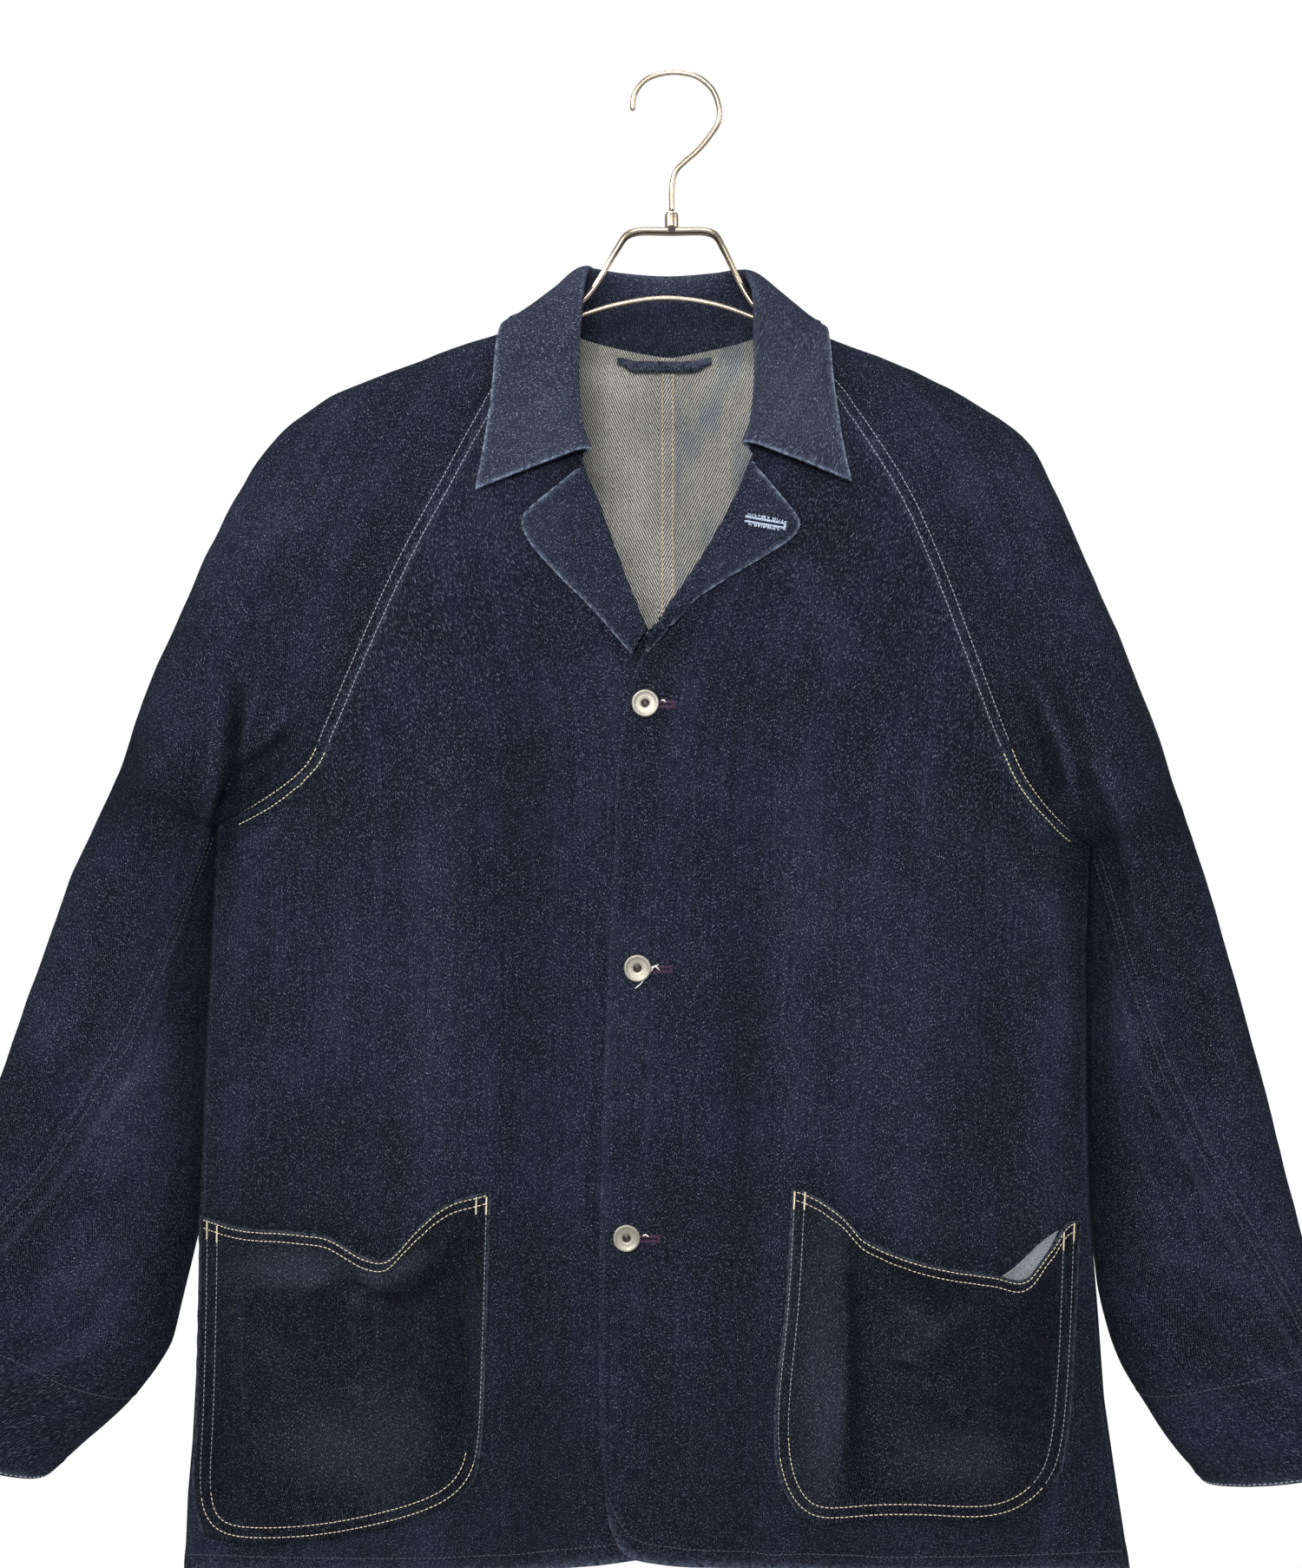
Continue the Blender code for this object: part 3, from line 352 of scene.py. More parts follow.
def across(x, z):
    """Place between the body's limits, from -1 to 1."""
    low, high = limits(z)
    return np.clip((2 * x - low - high) / (high - low), -1, 1)


def body_depth(x, z, depths, ridges):
    """Depth of a panel: (middle depth + folds) times the superellipse's round-off."""
    round_off = np.sqrt(1 - np.abs(across(x, z)) ** SIDE_CURVE)
    return (np.interp(z, DEPTH_HEIGHTS[::-1], depths[::-1]) + folds(ridges, x, z)) * round_off


def set_back(side, x):
    """The under front lies deeper where the over front covers it."""
    return SET_BACK * smoothstep(-115, -65, x) if side == "right" else 0.0 * x


def front_place(side, x, z):
    """Point of a front's inner face that is seen at (x, z)."""
    return sight(x, z, -body_depth(x, z, FRONT_DEPTHS, FRONT_FOLDS) + set_back(side, x))


def fan(inner, outer, columns):
    """Rows of (x, z) between two boundaries, at even angles round the body's section."""
    t = np.linspace(0, 1, columns)[None, :]
    z = inner[:, 1:2] + (outer[:, 1:2] - inner[:, 1:2]) * t
    low, high = limits(z)
    start = np.arcsin(across(inner[:, 0], inner[:, 1]))[:, None]
    stop = np.arcsin(across(outer[:, 0], outer[:, 1]))[:, None]
    return (low + high) / 2 + (high - low) / 2 * np.sin(start + (stop - start) * t), z


def front_grid(side):
    """Inner face of a front, from the neck seam down to the hem."""
    inner = np.vstack([along(UPPER_EDGE[side], CAP_ROWS + 1), along(LOWER_EDGE[side], BODY_ROWS + 1)[1:]])
    seam = along(FRONT_RAGLAN[side], CAP_ROWS + 1)
    heights = np.linspace(seam[-1, 1], HEM[side][-1][1], BODY_ROWS + 1)[1:]
    edge = np.stack([limits(heights)[0 if side == "right" else 1], heights], axis=1)
    x, z = fan(inner, np.vstack([seam, edge]), FRONT_COLUMNS)
    steps = np.arange(len(x))
    from_top = steps * COARSE_CAP / CAP_ROWS / 4
    from_hem = (len(x) - 1 - steps) * COARSE_BODY / BODY_ROWS / 3
    for row, curve, share in ((0, NECK_SEAM[side], from_top), (-1, HEM[side], from_hem)):
        line = along(curve, FRONT_COLUMNS)
        fade = np.clip(1 - share, 0, 1)[:, None] ** 2
        shift_x, shift_z = line[:, 0] - x[row], line[:, 1] - z[row]
        x, z = x + shift_x * fade, z + shift_z * fade
    return front_place(side, x, z)


def back_grid(side, front):
    """Inner face of half the back, on the front's side seam."""
    seam = along(BACK_RAGLAN[side], CAP_ROWS + 1)
    outer = np.vstack([seam, front[CAP_ROWS + 1:, -1][:, [0, 2]]])
    heights = np.linspace(-175, seam[-1, 1] - 6, CAP_ROWS + 1)
    heights = np.concatenate([heights, np.linspace(heights[-1], -948, BODY_ROWS + 1)[1:]])
    inner = np.stack([np.full(len(heights), CENTRE_BACK), heights], axis=1)
    x, z = fan(inner, outer, BACK_COLUMNS)
    return np.stack([x, body_depth(x, z, BACK_DEPTHS, BACK_FOLDS), z], axis=-1)


# %% [markdown]
# ## The sleeves
#
# A raglan sleeve is one strip. Near the neck it bridges from the front seam over the shoulder to the
# back seam, as a quarter ellipse each way. Below the underarm it closes into a tube, and its one seam
# wanders forward as the sleeve hangs. Blending the two rules gives the long soft raglan shoulder.

# %% Sleeves


def sleeve_grid(side, front, back):
    """Inner face of a sleeve: ellipses in the angle half, blended from bridge to ring by tube."""
    top = along(SLEEVE_TOP[side], CAP_ROWS + 1)
    down = along(SLEEVE_OUTER[side], TUBE_ROWS + 1)[1:]
    outer = np.vstack([sight(top[:, 0], top[:, 1], np.linspace(2, 6, len(top))),
                       sight(down[:, 0], down[:, 1], np.linspace(7, 14, len(down)))])
    inner = along([(x, depth, z) for x, z, depth in SLEEVE_INNER[side]], TUBE_ROWS + 1)[1:]
    first = np.vstack([front[:CAP_ROWS + 1, -1], inner])
    last = np.vstack([back[:CAP_ROWS + 1, -1], inner])
    row = np.concatenate([np.linspace(0, COARSE_CAP, CAP_ROWS + 1),
                          COARSE_CAP + np.linspace(0, COARSE_TUBE, TUBE_ROWS + 1)[1:]])[:, None]
    down_share = np.clip((row - COARSE_CAP) / COARSE_TUBE, 0, 1)
    tube = smoothstep(0.2, 1, row / COARSE_CAP)
    half_depth = np.interp(down_share, np.linspace(0, 1, len(SLEEVE_DEPTHS)), SLEEVE_DEPTHS)
    turn = np.radians(np.interp(down_share, np.linspace(0, 1, len(SEAM_TURNS)), SEAM_TURNS))
    phi = turn + np.linspace(0, 1, SLEEVE_COLUMNS) * 2 * np.pi
    wrapped = np.where(phi > 2 * np.pi + 1e-9, phi - 2 * np.pi, phi)
    ahead = wrapped <= np.pi
    half = np.where(ahead, wrapped, 2 * np.pi - wrapped)
    lens = np.interp(row, [0.2 * COARSE_CAP, COARSE_CAP, COARSE_CAP + 4], [0, 0.22, 1])
    lateral = (1 - lens) * np.sin(half / 2) + lens * (1 - np.cos(half)) / 2
    start = np.where(ahead[..., None], first[:, None], last[:, None])
    point = start + (outer[:, None] - start) * lateral[..., None]
    plain = start[..., 1] * np.cos(half / 2) + outer[:, None, 1] * (1 - np.cos(half / 2))
    ring = start[..., 1] + (outer[:, None, 1] - start[..., 1]) * lateral
    bulge = tube * half_depth * np.sin(half)
    crease = folds(SLEEVE_FOLDS[side], point[..., 0], point[..., 2]) * np.sin(half) ** 2
    point[..., 1] = (1 - tube) * plain + tube * ring
    point[..., 1] += np.where(ahead, -bulge - crease, bulge + crease * 0.6)
    dip = CUFF_MIDDLE_Z[side] - (outer[-1, 2] + inner[-1, 2]) / 2
    last_row = np.clip(row - (COARSE_CAP + COARSE_TUBE - 1), 0, 1)
    point[..., 2] += dip * np.sin(half) * last_row
    return point


def outwards(grid, away):
    """Unit normal of a grid: the cross product of its two gradients, on the side of away."""
    normal = unit(np.cross(np.gradient(grid, axis=1), np.gradient(grid, axis=0)))
    return normal * (1 if (normal * away).sum() > 0 else -1)


def share_normals(first, second):
    """Both sheets turn their walls the same way along a shared seam."""
    mean = unit(first + second)
    first[...] = mean
    second[...] = mean


def distances(grid):
    """Distance of each point from the left, right, top and bottom of its grid, along the cloth."""
    step_u = np.linalg.norm(np.diff(grid, axis=1), axis=-1)
    step_v = np.linalg.norm(np.diff(grid, axis=0), axis=-1)
    left = np.pad(np.cumsum(step_u, axis=1), ((0, 0), (1, 0)))
    top = np.pad(np.cumsum(step_v, axis=0), ((1, 0), (0, 0)))
    return {"left": left, "right": left[:, -1:] - left, "top": top, "bottom": top[-1:] - top}


# %% [markdown]
# ## Relief
#
# Denim is stiff, so it drags in long soft creases, and its felled seams pucker: the thread is a little
# shorter than the cloth. Both are small moves of the points along the normal. Near a seam that two
# sheets share, the creases fade out, so that the sheets still meet.

# %% Creases: x, z, x, z, width, height in millimetres
FRONT_CREASES = {
    "right": [(-52, -640, -30, -655, 5, 0.8), (-48, -690, -36, -700, 5, 0.8),
              (-60, -770, -30, -782, 6, 0.9), (-275, -560, -292, -640, 8, -1.2),
              (-252, -470, -285, -500, 7, 2), (-232, -440, -262, -476, 6, -1.8),
              (-214, -520, -238, -640, 12, 1.6), (-125, -250, -150, -330, 9, 1.2),
              (-100, -420, -112, -600, 10, 1)],
    "left": [(-44, -560, -22, -566, 5, 0.9), (-45, -610, -24, -622, 5, 0.9),
             (-48, -664, -22, -672, 5, 1), (-49, -705, -26, -700, 5, -0.8), (-50, -790, -24, -800, 6, 1),
             (-50, -842, -26, -850, 6, 1), (-46, -890, -20, -902, 6, 1), (60, -300, 104, -380, 11, 1.4),
             (118, -320, 158, -420, 12, -1.3), (196, -430, 240, -500, 7, 2),
             (184, -440, 230, -520, 7, -1.6), (232, -520, 246, -640, 9, 2), (30, -520, 34, -700, 9, -1),
             (190, -560, 205, -720, 12, -1.3)],
}
SLEEVE_CREASES = {
    "right": [(-284, -396, -304, -500, 4.5, -7), (-250, -418, -288, -452, 4, -5.5),
              (-288, -446, -299, -478, 4, -4), (-250, -436, -290, -474, 4, -3.5),
              (-276, -398, -292, -450, 5, 3), (-298, -405, -316, -520, 7, 2.8),
              (-252, -404, -280, -440, 5, 2.2), (-300, -470, -330, -540, 7, 2.2),
              (-318, -560, -352, -600, 8, -2), (-330, -620, -380, -668, 9, 2),
              (-345, -700, -402, -738, 9, -1.8), (-352, -752, -420, -782, 8, 1.8),
              (-372, -800, -440, -820, 7, -1.5), (-215, -250, -268, -300, 12, 1.4),
              (-380, -560, -410, -640, 10, 1.6)],
    "left": [(216, -392, 246, -470, 6, -5), (236, -388, 268, -478, 6, -4),
             (262, -450, 284, -540, 7, -3.5), (226, -390, 256, -470, 6, 3),
             (254, -430, 290, -512, 9, 2.6), (206, -380, 232, -450, 7, 2),
             (270, -540, 300, -590, 8, -1.9), (282, -610, 326, -660, 9, 1.9),
             (290, -700, 352, -730, 9, -1.7), (300, -760, 366, -786, 8, 1.8),
             (322, -812, 384, -832, 7, -1.5), (196, -250, 236, -320, 12, 1.3),
             (330, -560, 356, -640, 10, 1.5)],
}
POCKET_CREASES = {
    "right": [(-207, -773, -182, -781, 4, 4), (-182, -781, -159, -762, 4, 4),
              (-159, -762, -133, -736, 4, 3), (-200, -786, -172, -792, 4, -3),
              (-172, -792, -146, -766, 4, -3), (-262, -772, -196, -792, 6, 2.4),
              (-240, -790, -184, -776, 5, -2), (-214, -800, -150, -752, 6, 2.6),
              (-196, -812, -140, -770, 7, -2), (-286, -800, -250, -860, 10, 1.6),
              (-160, -800, -142, -880, 8, 1.5), (-230, -850, -190, -905, 10, -1.4),
              (-298, -760, -286, -830, 6, 1.4)],
    "left": [(97, -740, 99, -925, 7, 2.4), (107, -735, 108, -925, 5, -2.4),
             (72, -874, 92, -885, 3, -2.2), (138, -828, 167, -845, 3.5, -2.6),
             (134, -822, 160, -836, 4, 1.6), (74, -850, 90, -862, 3, -1.6),
             (96, -756, 168, -820, 6, 2.6), (112, -752, 178, -796, 5, -2), (150, -818, 196, -792, 6, 2),
             (150, -838, 182, -858, 6, 2), (206, -800, 236, -770, 7, 1.8), (88, -820, 92, -890, 8, 1.5),
             (196, -850, 222, -900, 9, -1.5), (112, -870, 118, -925, 6, -1.6)],
}
# Where the cap meets the tube the sleeve is drawn in: x, z, half width, half height, amount
SLEEVE_TRIM = {"right": [(-366, -450, 24, 48, -6.5)], "left": [(327, -462, 22, 42, -4.8)]}
# Broad patches of painted light and painted shade on the pockets' folds: x, z, half width, half height,
# amount
POCKET_LIGHT_AND_SHADE = {
    "right": [(-245, -768, 37, 13, 1.3), (-225, -788, 17, 14, -0.6), (-210, -880, 63, 31, 1),
              (-147, -831, 13, 71, -0.8), (-299, -888, 17, 46, -0.6), (-262, -820, 24, 20, 0.3)],
    "left": [(86, -845, 15, 86, 1.1), (112, -846, 8, 86, -0.9), (184, -891, 43, 22, 1),
             (227, -830, 17, 57, -0.6), (141, -774, 34, 17, -0.5)],
}


def soft_patches(spots, x, z):
    """Sum of soft patches."""
    return sum(rise * np.exp(-((x - a) / p) ** 2 - ((z - b) / q) ** 2) for a, b, p, q, rise in spots)


def relief(grid, seed, open_edges, strength):
    """Height of the cloth's relief: soft rumples, and puckers beside the edges."""
    x, z = seen(grid)
    gap = distances(grid)
    fade = 1.0
    for edge in ("left", "right", "top", "bottom"):
        if edge not in open_edges:
            fade = fade * smoothstep(0, 16, gap[edge])
    soft = 0.9 * rumple(x, z, 46, seed) + 0.45 * rumple(x + z * 0.3, z, 19, seed + 1)
    fine = 0.16 * rumple(x, z, 7.5, seed + 2)
    height = (soft + fine) * strength * fade
    for edge, run in (("left", "top"), ("right", "top"), ("top", "left"), ("bottom", "left")):
        beside = np.exp(-((gap[edge] - 7) / 5.0) ** 2)
        wave = np.sin(gap[run] * 2 * np.pi / 15 + 2.4 * rumple(gap[run], gap[edge] * 0.2, 31, seed + 3))
        height = height + 0.34 * strength * beside * wave * smoothstep(0, 3, gap[edge])
    return height


def thickness(grid, hems):
    """Wall of the sheet: one layer, and more within each turned hem, given as edge: (width, extra)."""
    gap = distances(grid)
    wall = np.full(grid.shape[:2], CLOTH)
    for edge, (width, extra) in hems.items():
        wall = np.maximum(wall, CLOTH + extra * (1 - smoothstep(width, width + 4, gap[edge])))
    return wall


# %% [markdown]
# ## From a grid to a sheet of cloth
#
# A sheet is two copies of the grid, the inner and the outer face, joined by a rounded rim. Its right
# and wrong side have different materials, as indigo denim has: the warp shows outside and the pale
# weft inside. The UV map is the cloth itself, flattened: metres across and metres along the warp.

# %% Sheets of cloth


def grid_faces(rows, columns, start=0):
    """Quads of a grid of points, row by row."""
    index = start + np.arange(rows * columns).reshape(rows, columns)
    return np.stack([index[:-1, :-1], index[:-1, 1:], index[1:, 1:], index[1:, :-1]], axis=-1).reshape(-1, 4)


def finish_mesh(name, points, faces, finishes, face_finish=None, uv=None, wear=None, fade=None, sharp=48):
    """Mesh object in metres, from millimetres, with its materials, UV map, wear, and the fade attribute:
    random tone and ridge wear, with painted light and painted shade.
    """
    mesh = bpy.data.meshes.new(name)
    faces = np.asarray(faces, np.int32)
    mesh.vertices.add(len(points))
    mesh.vertices.foreach_set("co", (np.asarray(points) * MM).astype(np.float32).ravel())
    mesh.loops.add(faces.size)
    mesh.loops.foreach_set("vertex_index", faces.ravel())
    mesh.polygons.add(len(faces))
    mesh.polygons.foreach_set("loop_start", np.arange(len(faces), dtype=np.int32) * faces.shape[1])
    mesh.update(calc_edges=True)
    for finish in finishes:
        mesh.materials.append(finish)
    if face_finish is not None:
        mesh.polygons.foreach_set("material_index", np.asarray(face_finish, np.int32))
    if uv is not None:
        layer = mesh.uv_layers.new(name="cloth")
        layer.data.foreach_set("uv", (np.asarray(uv) * MM)[faces.ravel()].astype(np.float32).ravel())
    for title, values in (("wear", wear), ("fade", fade)):
        if values is not None:
            layer = mesh.attributes.new(title, "FLOAT", "POINT")
            layer.data.foreach_set("value", np.asarray(values, np.float32))
    mesh.shade_smooth()
    mesh.set_sharp_from_angle(angle=np.radians(sharp))
    mesh.validate()
    made = bpy.data.objects.new(name, mesh)
    bpy.context.scene.collection.objects.link(made)
    return made


def volume(points, faces):
    """Six times the signed volume of a closed mesh of quads: its sign says which way it faces."""
    a, b, c, d = (points[faces[:, k]] for k in range(4))
    return np.einsum("ij,ij->i", a, np.cross(b, c) + np.cross(c, d)).sum()


def outward(points, faces):
    """The faces of a closed mesh, turned over if they look inwards."""
    return faces[:, ::-1] if volume(points - points.mean(axis=0), faces) < 0 else faces


def tree_of(grid):
    """Search tree of a grid's quads."""
    return BVHTree.FromPolygons(grid.reshape(-1, 3).tolist(), grid_faces(*grid.shape[:2]).tolist())


def look(tree, x, z):
    """Point and normal of a surface where it is seen at (x, z), or None."""
    aim = unit(sight(np.float64(x), np.float64(z), np.float64(-60.0)) - EYE)
    hit, normal = tree.ray_cast(EYE.tolist(), aim.tolist())[:2]
    if hit is None:
        return None
    return np.array(hit), np.array(normal) * (1 if normal[1] < 0 else -1)


def ring_faces(index):
    """Quads between neighbouring rings of points, each ring closed on itself."""
    right = np.roll(index, -1, axis=1)
    return np.stack([index[:-1], right[:-1], right[1:], index[1:]], axis=-1).reshape(-1, 4)


def cap_faces(ring, centre):
    """Quads that close a ring of points, fanned from the point at its centre."""
    step = np.arange(0, len(ring), 2)
    corners = [ring[(step + k) % len(ring)] for k in range(3)]
    return np.stack([*corners, np.full(len(step), centre)], axis=1)


def ringed(name, grid, finish, sharp, endless=False):
    """Closed mesh of rings of points: capped at both ends, or with the last ring joined to the first."""
    index = np.arange(grid.shape[0] * grid.shape[1]).reshape(grid.shape[:2])
    points = grid.reshape(-1, 3)
    if endless:
        faces = ring_faces(np.vstack([index, index[:1]]))
    else:
        points = np.vstack([points, grid[0].mean(axis=0), grid[-1].mean(axis=0)])
        low, high = cap_faces(index[0], index.size), cap_faces(index[-1], index.size + 1)
        faces = np.vstack([ring_faces(index), low[:, ::-1], high])
    return finish_mesh(name, points, outward(points, faces), [finish], sharp=sharp)


def sheet(name, grid, normals, wall, finishes, wear=None, fade=None, uv_turn=False):
    """Closed sheet: inner grid, outer grid at wall along the normals, and a rounded rim between."""
    rows, columns = grid.shape[:2]
    count = rows * columns
    outer = grid + normals * np.broadcast_to(wall, grid.shape[:2])[..., None]
    index = np.arange(count).reshape(rows, columns)
    rim = np.concatenate([index[0], index[1:, -1], index[-1, -2::-1], index[-2:0:-1, 0]])
    near = np.concatenate([index[1], index[1:, -2], index[-2, -2::-1], index[-2:0:-1, 1]])
    inner_points, outer_points = grid.reshape(-1, 3), outer.reshape(-1, 3)
    middle = (inner_points[rim] + outer_points[rim]) / 2
    middle = middle + 0.4 * unit(inner_points[rim] - inner_points[near])
    points = np.vstack([inner_points, outer_points, middle])
    ring = 2 * count + np.arange(len(rim))
    inner_faces = grid_faces(rows, columns)
    outer_faces = grid_faces(rows, columns, count)[:, ::-1]
    low = np.stack([np.roll(rim, -1), rim, ring, np.roll(ring, -1)], axis=1)
    high = np.stack([np.roll(ring, -1), ring, rim + count, np.roll(rim, -1) + count], axis=1)
    faces = outward(points, np.vstack([inner_faces, outer_faces, low, high]))
    side = np.concatenate([np.ones(len(inner_faces)), np.zeros(len(outer_faces) + 2 * len(rim))])
    gap = distances(grid)
    flat = np.stack([gap["left"], gap["top"]][::-1 if uv_turn else 1], axis=-1).reshape(-1, 2)
    worn = np.zeros(count) if wear is None else wear.ravel()
    pale = np.zeros(count) if fade is None else np.clip(fade, -1, 1).ravel()
    return finish_mesh(name, points, faces, finishes, side, np.vstack([flat, flat, flat[rim]]),
                       np.concatenate([worn, worn, np.maximum(worn[rim], 0.35)]),
                       np.concatenate([0 * pale, pale, pale[rim]]))


# %% [markdown]
# ## Materials
#
# Raw indigo denim is a dark warp over a pale weft. From a step away it is a dark blue with long
# vertical streaks, where the yarn is thick or thin, and a dust of pale flecks, where the weft looks
# through. Close by, the twill's diagonal ribs show. All of it is worked out on the cloth's own map.

# %% Material helpers


class Nodes:
    """A material's node tree, with short calls for the few kinds of node used here."""

    def __init__(self, name, roughness, metallic=0.0, sheen=0.0):
        self.material = bpy.data.materials.new(name)
        self.material.use_nodes = True
        self.tree = self.material.node_tree
        self.shader = self.tree.nodes["Principled BSDF"]
        self.shader.inputs["Roughness"].default_value = roughness
        self.shader.inputs["Metallic"].default_value = metallic
        self.shader.inputs["Sheen Weight"].default_value = sheen
        self.shader.inputs["Sheen Roughness"].default_value = 0.5
        self.shader.inputs["Specular IOR Level"].default_value = 0.5 if metallic else 0.02

    def link(self, source, node, socket):
        """Connect an output to a socket, or set the socket's own value."""
        if isinstance(source, bpy.types.NodeSocket):
            self.tree.links.new(source, node.inputs[socket])
        else:
            node.inputs[socket].default_value = source

    def mapped(self, scale, source="cloth", turn=0.0):
        """The cloth's UV map, or Object coordinates, scaled and turned in its plane."""
        if source == "cloth":
            start = self.tree.nodes.new("ShaderNodeUVMap")
            start.uv_map = "cloth"
            output = start.outputs["UV"]
        else:
            output = self.tree.nodes.new("ShaderNodeTexCoord").outputs["Object"]
        mapping = self.tree.nodes.new("ShaderNodeMapping")
        mapping.inputs["Scale"].default_value = scale
        mapping.inputs["Rotation"].default_value = (0, 0, turn)
        self.tree.links.new(output, mapping.inputs["Vector"])
        return mapping.outputs["Vector"]

    def noise(self, vector, detail=2.0, rough=0.5):
        node = self.tree.nodes.new("ShaderNodeTexNoise")
        node.inputs["Scale"].default_value = 1.0
        node.inputs["Detail"].default_value = detail
        node.inputs["Roughness"].default_value = rough
        self.tree.links.new(vector, node.inputs["Vector"])
        return node.outputs["Fac"]

    def wave(self, vector):
        """Even ribs along X, 1 rib for each unit of the mapped vector."""
        node = self.tree.nodes.new("ShaderNodeTexWave")
        node.inputs["Scale"].default_value = 0.31
        node.inputs["Distortion"].default_value = 0.7
        node.inputs["Detail"].default_value = 1.0
        self.tree.links.new(vector, node.inputs["Vector"])
        return node.outputs["Fac"]

    def range(self, source, low, high, to_low=0.0, to_high=1.0):
        node = self.tree.nodes.new("ShaderNodeMapRange")
        for socket, value in (("From Min", low), ("From Max", high), ("To Min", to_low), ("To Max", to_high)):
            node.inputs[socket].default_value = value
        self.link(source, node, "Value")
        return node.outputs["Result"]

    def maths(self, kind, a, b):
        node = self.tree.nodes.new("ShaderNodeMath")
        node.operation = kind
        self.link(a, node, 0)
        self.link(b, node, 1)
        return node.outputs[0]

    def mix(self, share, first, second):
        """Colour between first and second."""
        node = self.tree.nodes.new("ShaderNodeMix")
        node.data_type = "RGBA"
        self.link(share, node, 0)
        for value, socket in ((first, 6), (second, 7)):
            self.link((*value, 1.0) if isinstance(value, tuple) else value, node, socket)
        return node.outputs[2]

    def attribute(self, name):
        node = self.tree.nodes.new("ShaderNodeAttribute")
        node.attribute_name = name
        return node.outputs["Fac"]

    def bump(self, height, distance, strength=1.0, before=None):
        node = self.tree.nodes.new("ShaderNodeBump")
        node.inputs["Distance"].default_value = distance
        node.inputs["Strength"].default_value = strength
        self.link(height, node, "Height")
        if before is not None:
            self.tree.links.new(before, node.inputs["Normal"])
        return node.outputs["Normal"]

    def colour(self, source):
        self.link((*source, 1.0) if isinstance(source, tuple) else source, self.shader, "Base Color")

    def normal(self, source):
        self.tree.links.new(source, self.shader.inputs["Normal"])


def denim(name, dark, middle, light, fleck, worn, grain=1.0, streaks=1.0, twill=0.07, tint=None,
          ribs_per_m=880):
    """Twill: streaks along the warp, a grain of weft flecks, and a worn colour where the edges rub. The fade
    attribute mixes in a paler colour, for ridge wear and painted light, and a darker one, painted shade.
    """
    n = Nodes(name, roughness=0.95)
    broad = n.noise(n.mapped((42, 1.6, 1)), 3)
    narrow = n.noise(n.mapped((300, 8, 1)), 3)
    cloud = n.noise(n.mapped((13, 9, 13), "object"), 5, 0.65)
    shade = n.maths("MULTIPLY", n.maths("ADD", broad, narrow), 0.34 * streaks)
    shade = n.maths("ADD", shade, n.maths("MULTIPLY", cloud, 0.50))
    level = 0.5 * (0.68 * streaks + 0.50)
    body = n.mix(n.range(shade, level - 0.13, level), dark, middle)
    body = n.mix(n.range(shade, level, level + 0.13), body, light)
    if tint is not None:
        colour, low, high, patch_scale = tint
        patch_share = n.noise(n.mapped((patch_scale, patch_scale * 0.5, 1)), 3)
        body = n.mix(n.range(patch_share, low, high, 0.0, 0.6), body, colour)
    # Where fade is above 0 the cloth is paler (ridge wear and painted light); where it is below 0 it is
    # darker (painted shade).
    fade = n.attribute("fade")
    worn_and_lit = tuple(1.5 * a + 0.10 * b for a, b in zip(light, fleck))
    body = n.mix(n.range(fade, 0.0, 1.0, 0.0, 0.45), body, worn_and_lit)
    body = n.mix(n.range(fade, 0.0, -1.0, 0.0, 0.72), body, tuple(0.6 * c for c in dark))
    speck = n.noise(n.mapped((1450, 760, 1)), 2, 0.55)
    coarse = n.noise(n.mapped((420, 110, 1)), 4, 0.7)
    share = n.maths("MULTIPLY", n.range(speck, 0.545, 0.67, 0.0, grain),
                    n.range(coarse, 0.38, 0.64, 0.10, 1.0))
    share = n.maths("MULTIPLY", share, n.range(fade, -1.0, 1.0, 0.45, 1.5))
    body = n.mix(share, body, fleck)
    pit = n.noise(n.mapped((1150, 520, 1)), 2, 0.55)
    body = n.mix(n.range(pit, 0.50, 0.28, 0.0, 0.85), body, tuple(0.35 * c for c in dark))
    ribs = n.wave(n.mapped((ribs_per_m, ribs_per_m, 1), turn=np.radians(-27)))
    body = n.mix(n.range(ribs, 0.40, 0.80, 0.0, twill), body, fleck)
    scuff = n.noise(n.mapped((330, 330, 330), "object"), 4, 0.75)
    edge = n.maths("MULTIPLY", n.attribute("wear"), n.range(scuff, 0.38, 0.60))
    n.colour(n.mix(edge, body, worn))
    lumps = n.maths("ADD", n.maths("MULTIPLY", ribs, 0.6), n.maths("MULTIPLY", speck, 0.9))
    soft = n.noise(n.mapped((75, 60, 75), "object"), 4, 0.65)
    n.normal(n.bump(lumps, 0.0004, 0.6, n.bump(soft, 0.0022, 0.55)))
    return n.material


def thread(name, colour, shade):
    """Cotton thread: a fine twist darkens it at even steps."""
    n = Nodes(name, roughness=0.8, sheen=0.1)
    twist = n.noise(n.mapped((1500, 1500, 1500), "object"), 2)
    n.colour(n.mix(n.range(twist, 0.3, 0.7), shade, colour))
    n.normal(n.bump(twist, 0.0002, 0.5))
    return n.material


def metal(name, colour, tarnish, roughness, grain=(900, 900, 900)):
    """Plated metal: fine brushed grain, and a little tarnish in soft patches."""
    n = Nodes(name, roughness=roughness, metallic=1.0)
    patches = n.noise(n.mapped((70, 70, 70), "object"), 4, 0.6)
    fine = n.noise(n.mapped(grain, "object"), 2)
    n.colour(n.mix(n.range(patches, 0.42, 0.72, 0.0, 0.6), colour, tarnish))
    n.link(n.range(fine, 0.2, 0.8, roughness - 0.07, roughness + 0.1), n.shader, "Roughness")
    n.normal(n.bump(fine, 0.00005, 0.4))
    return n.material


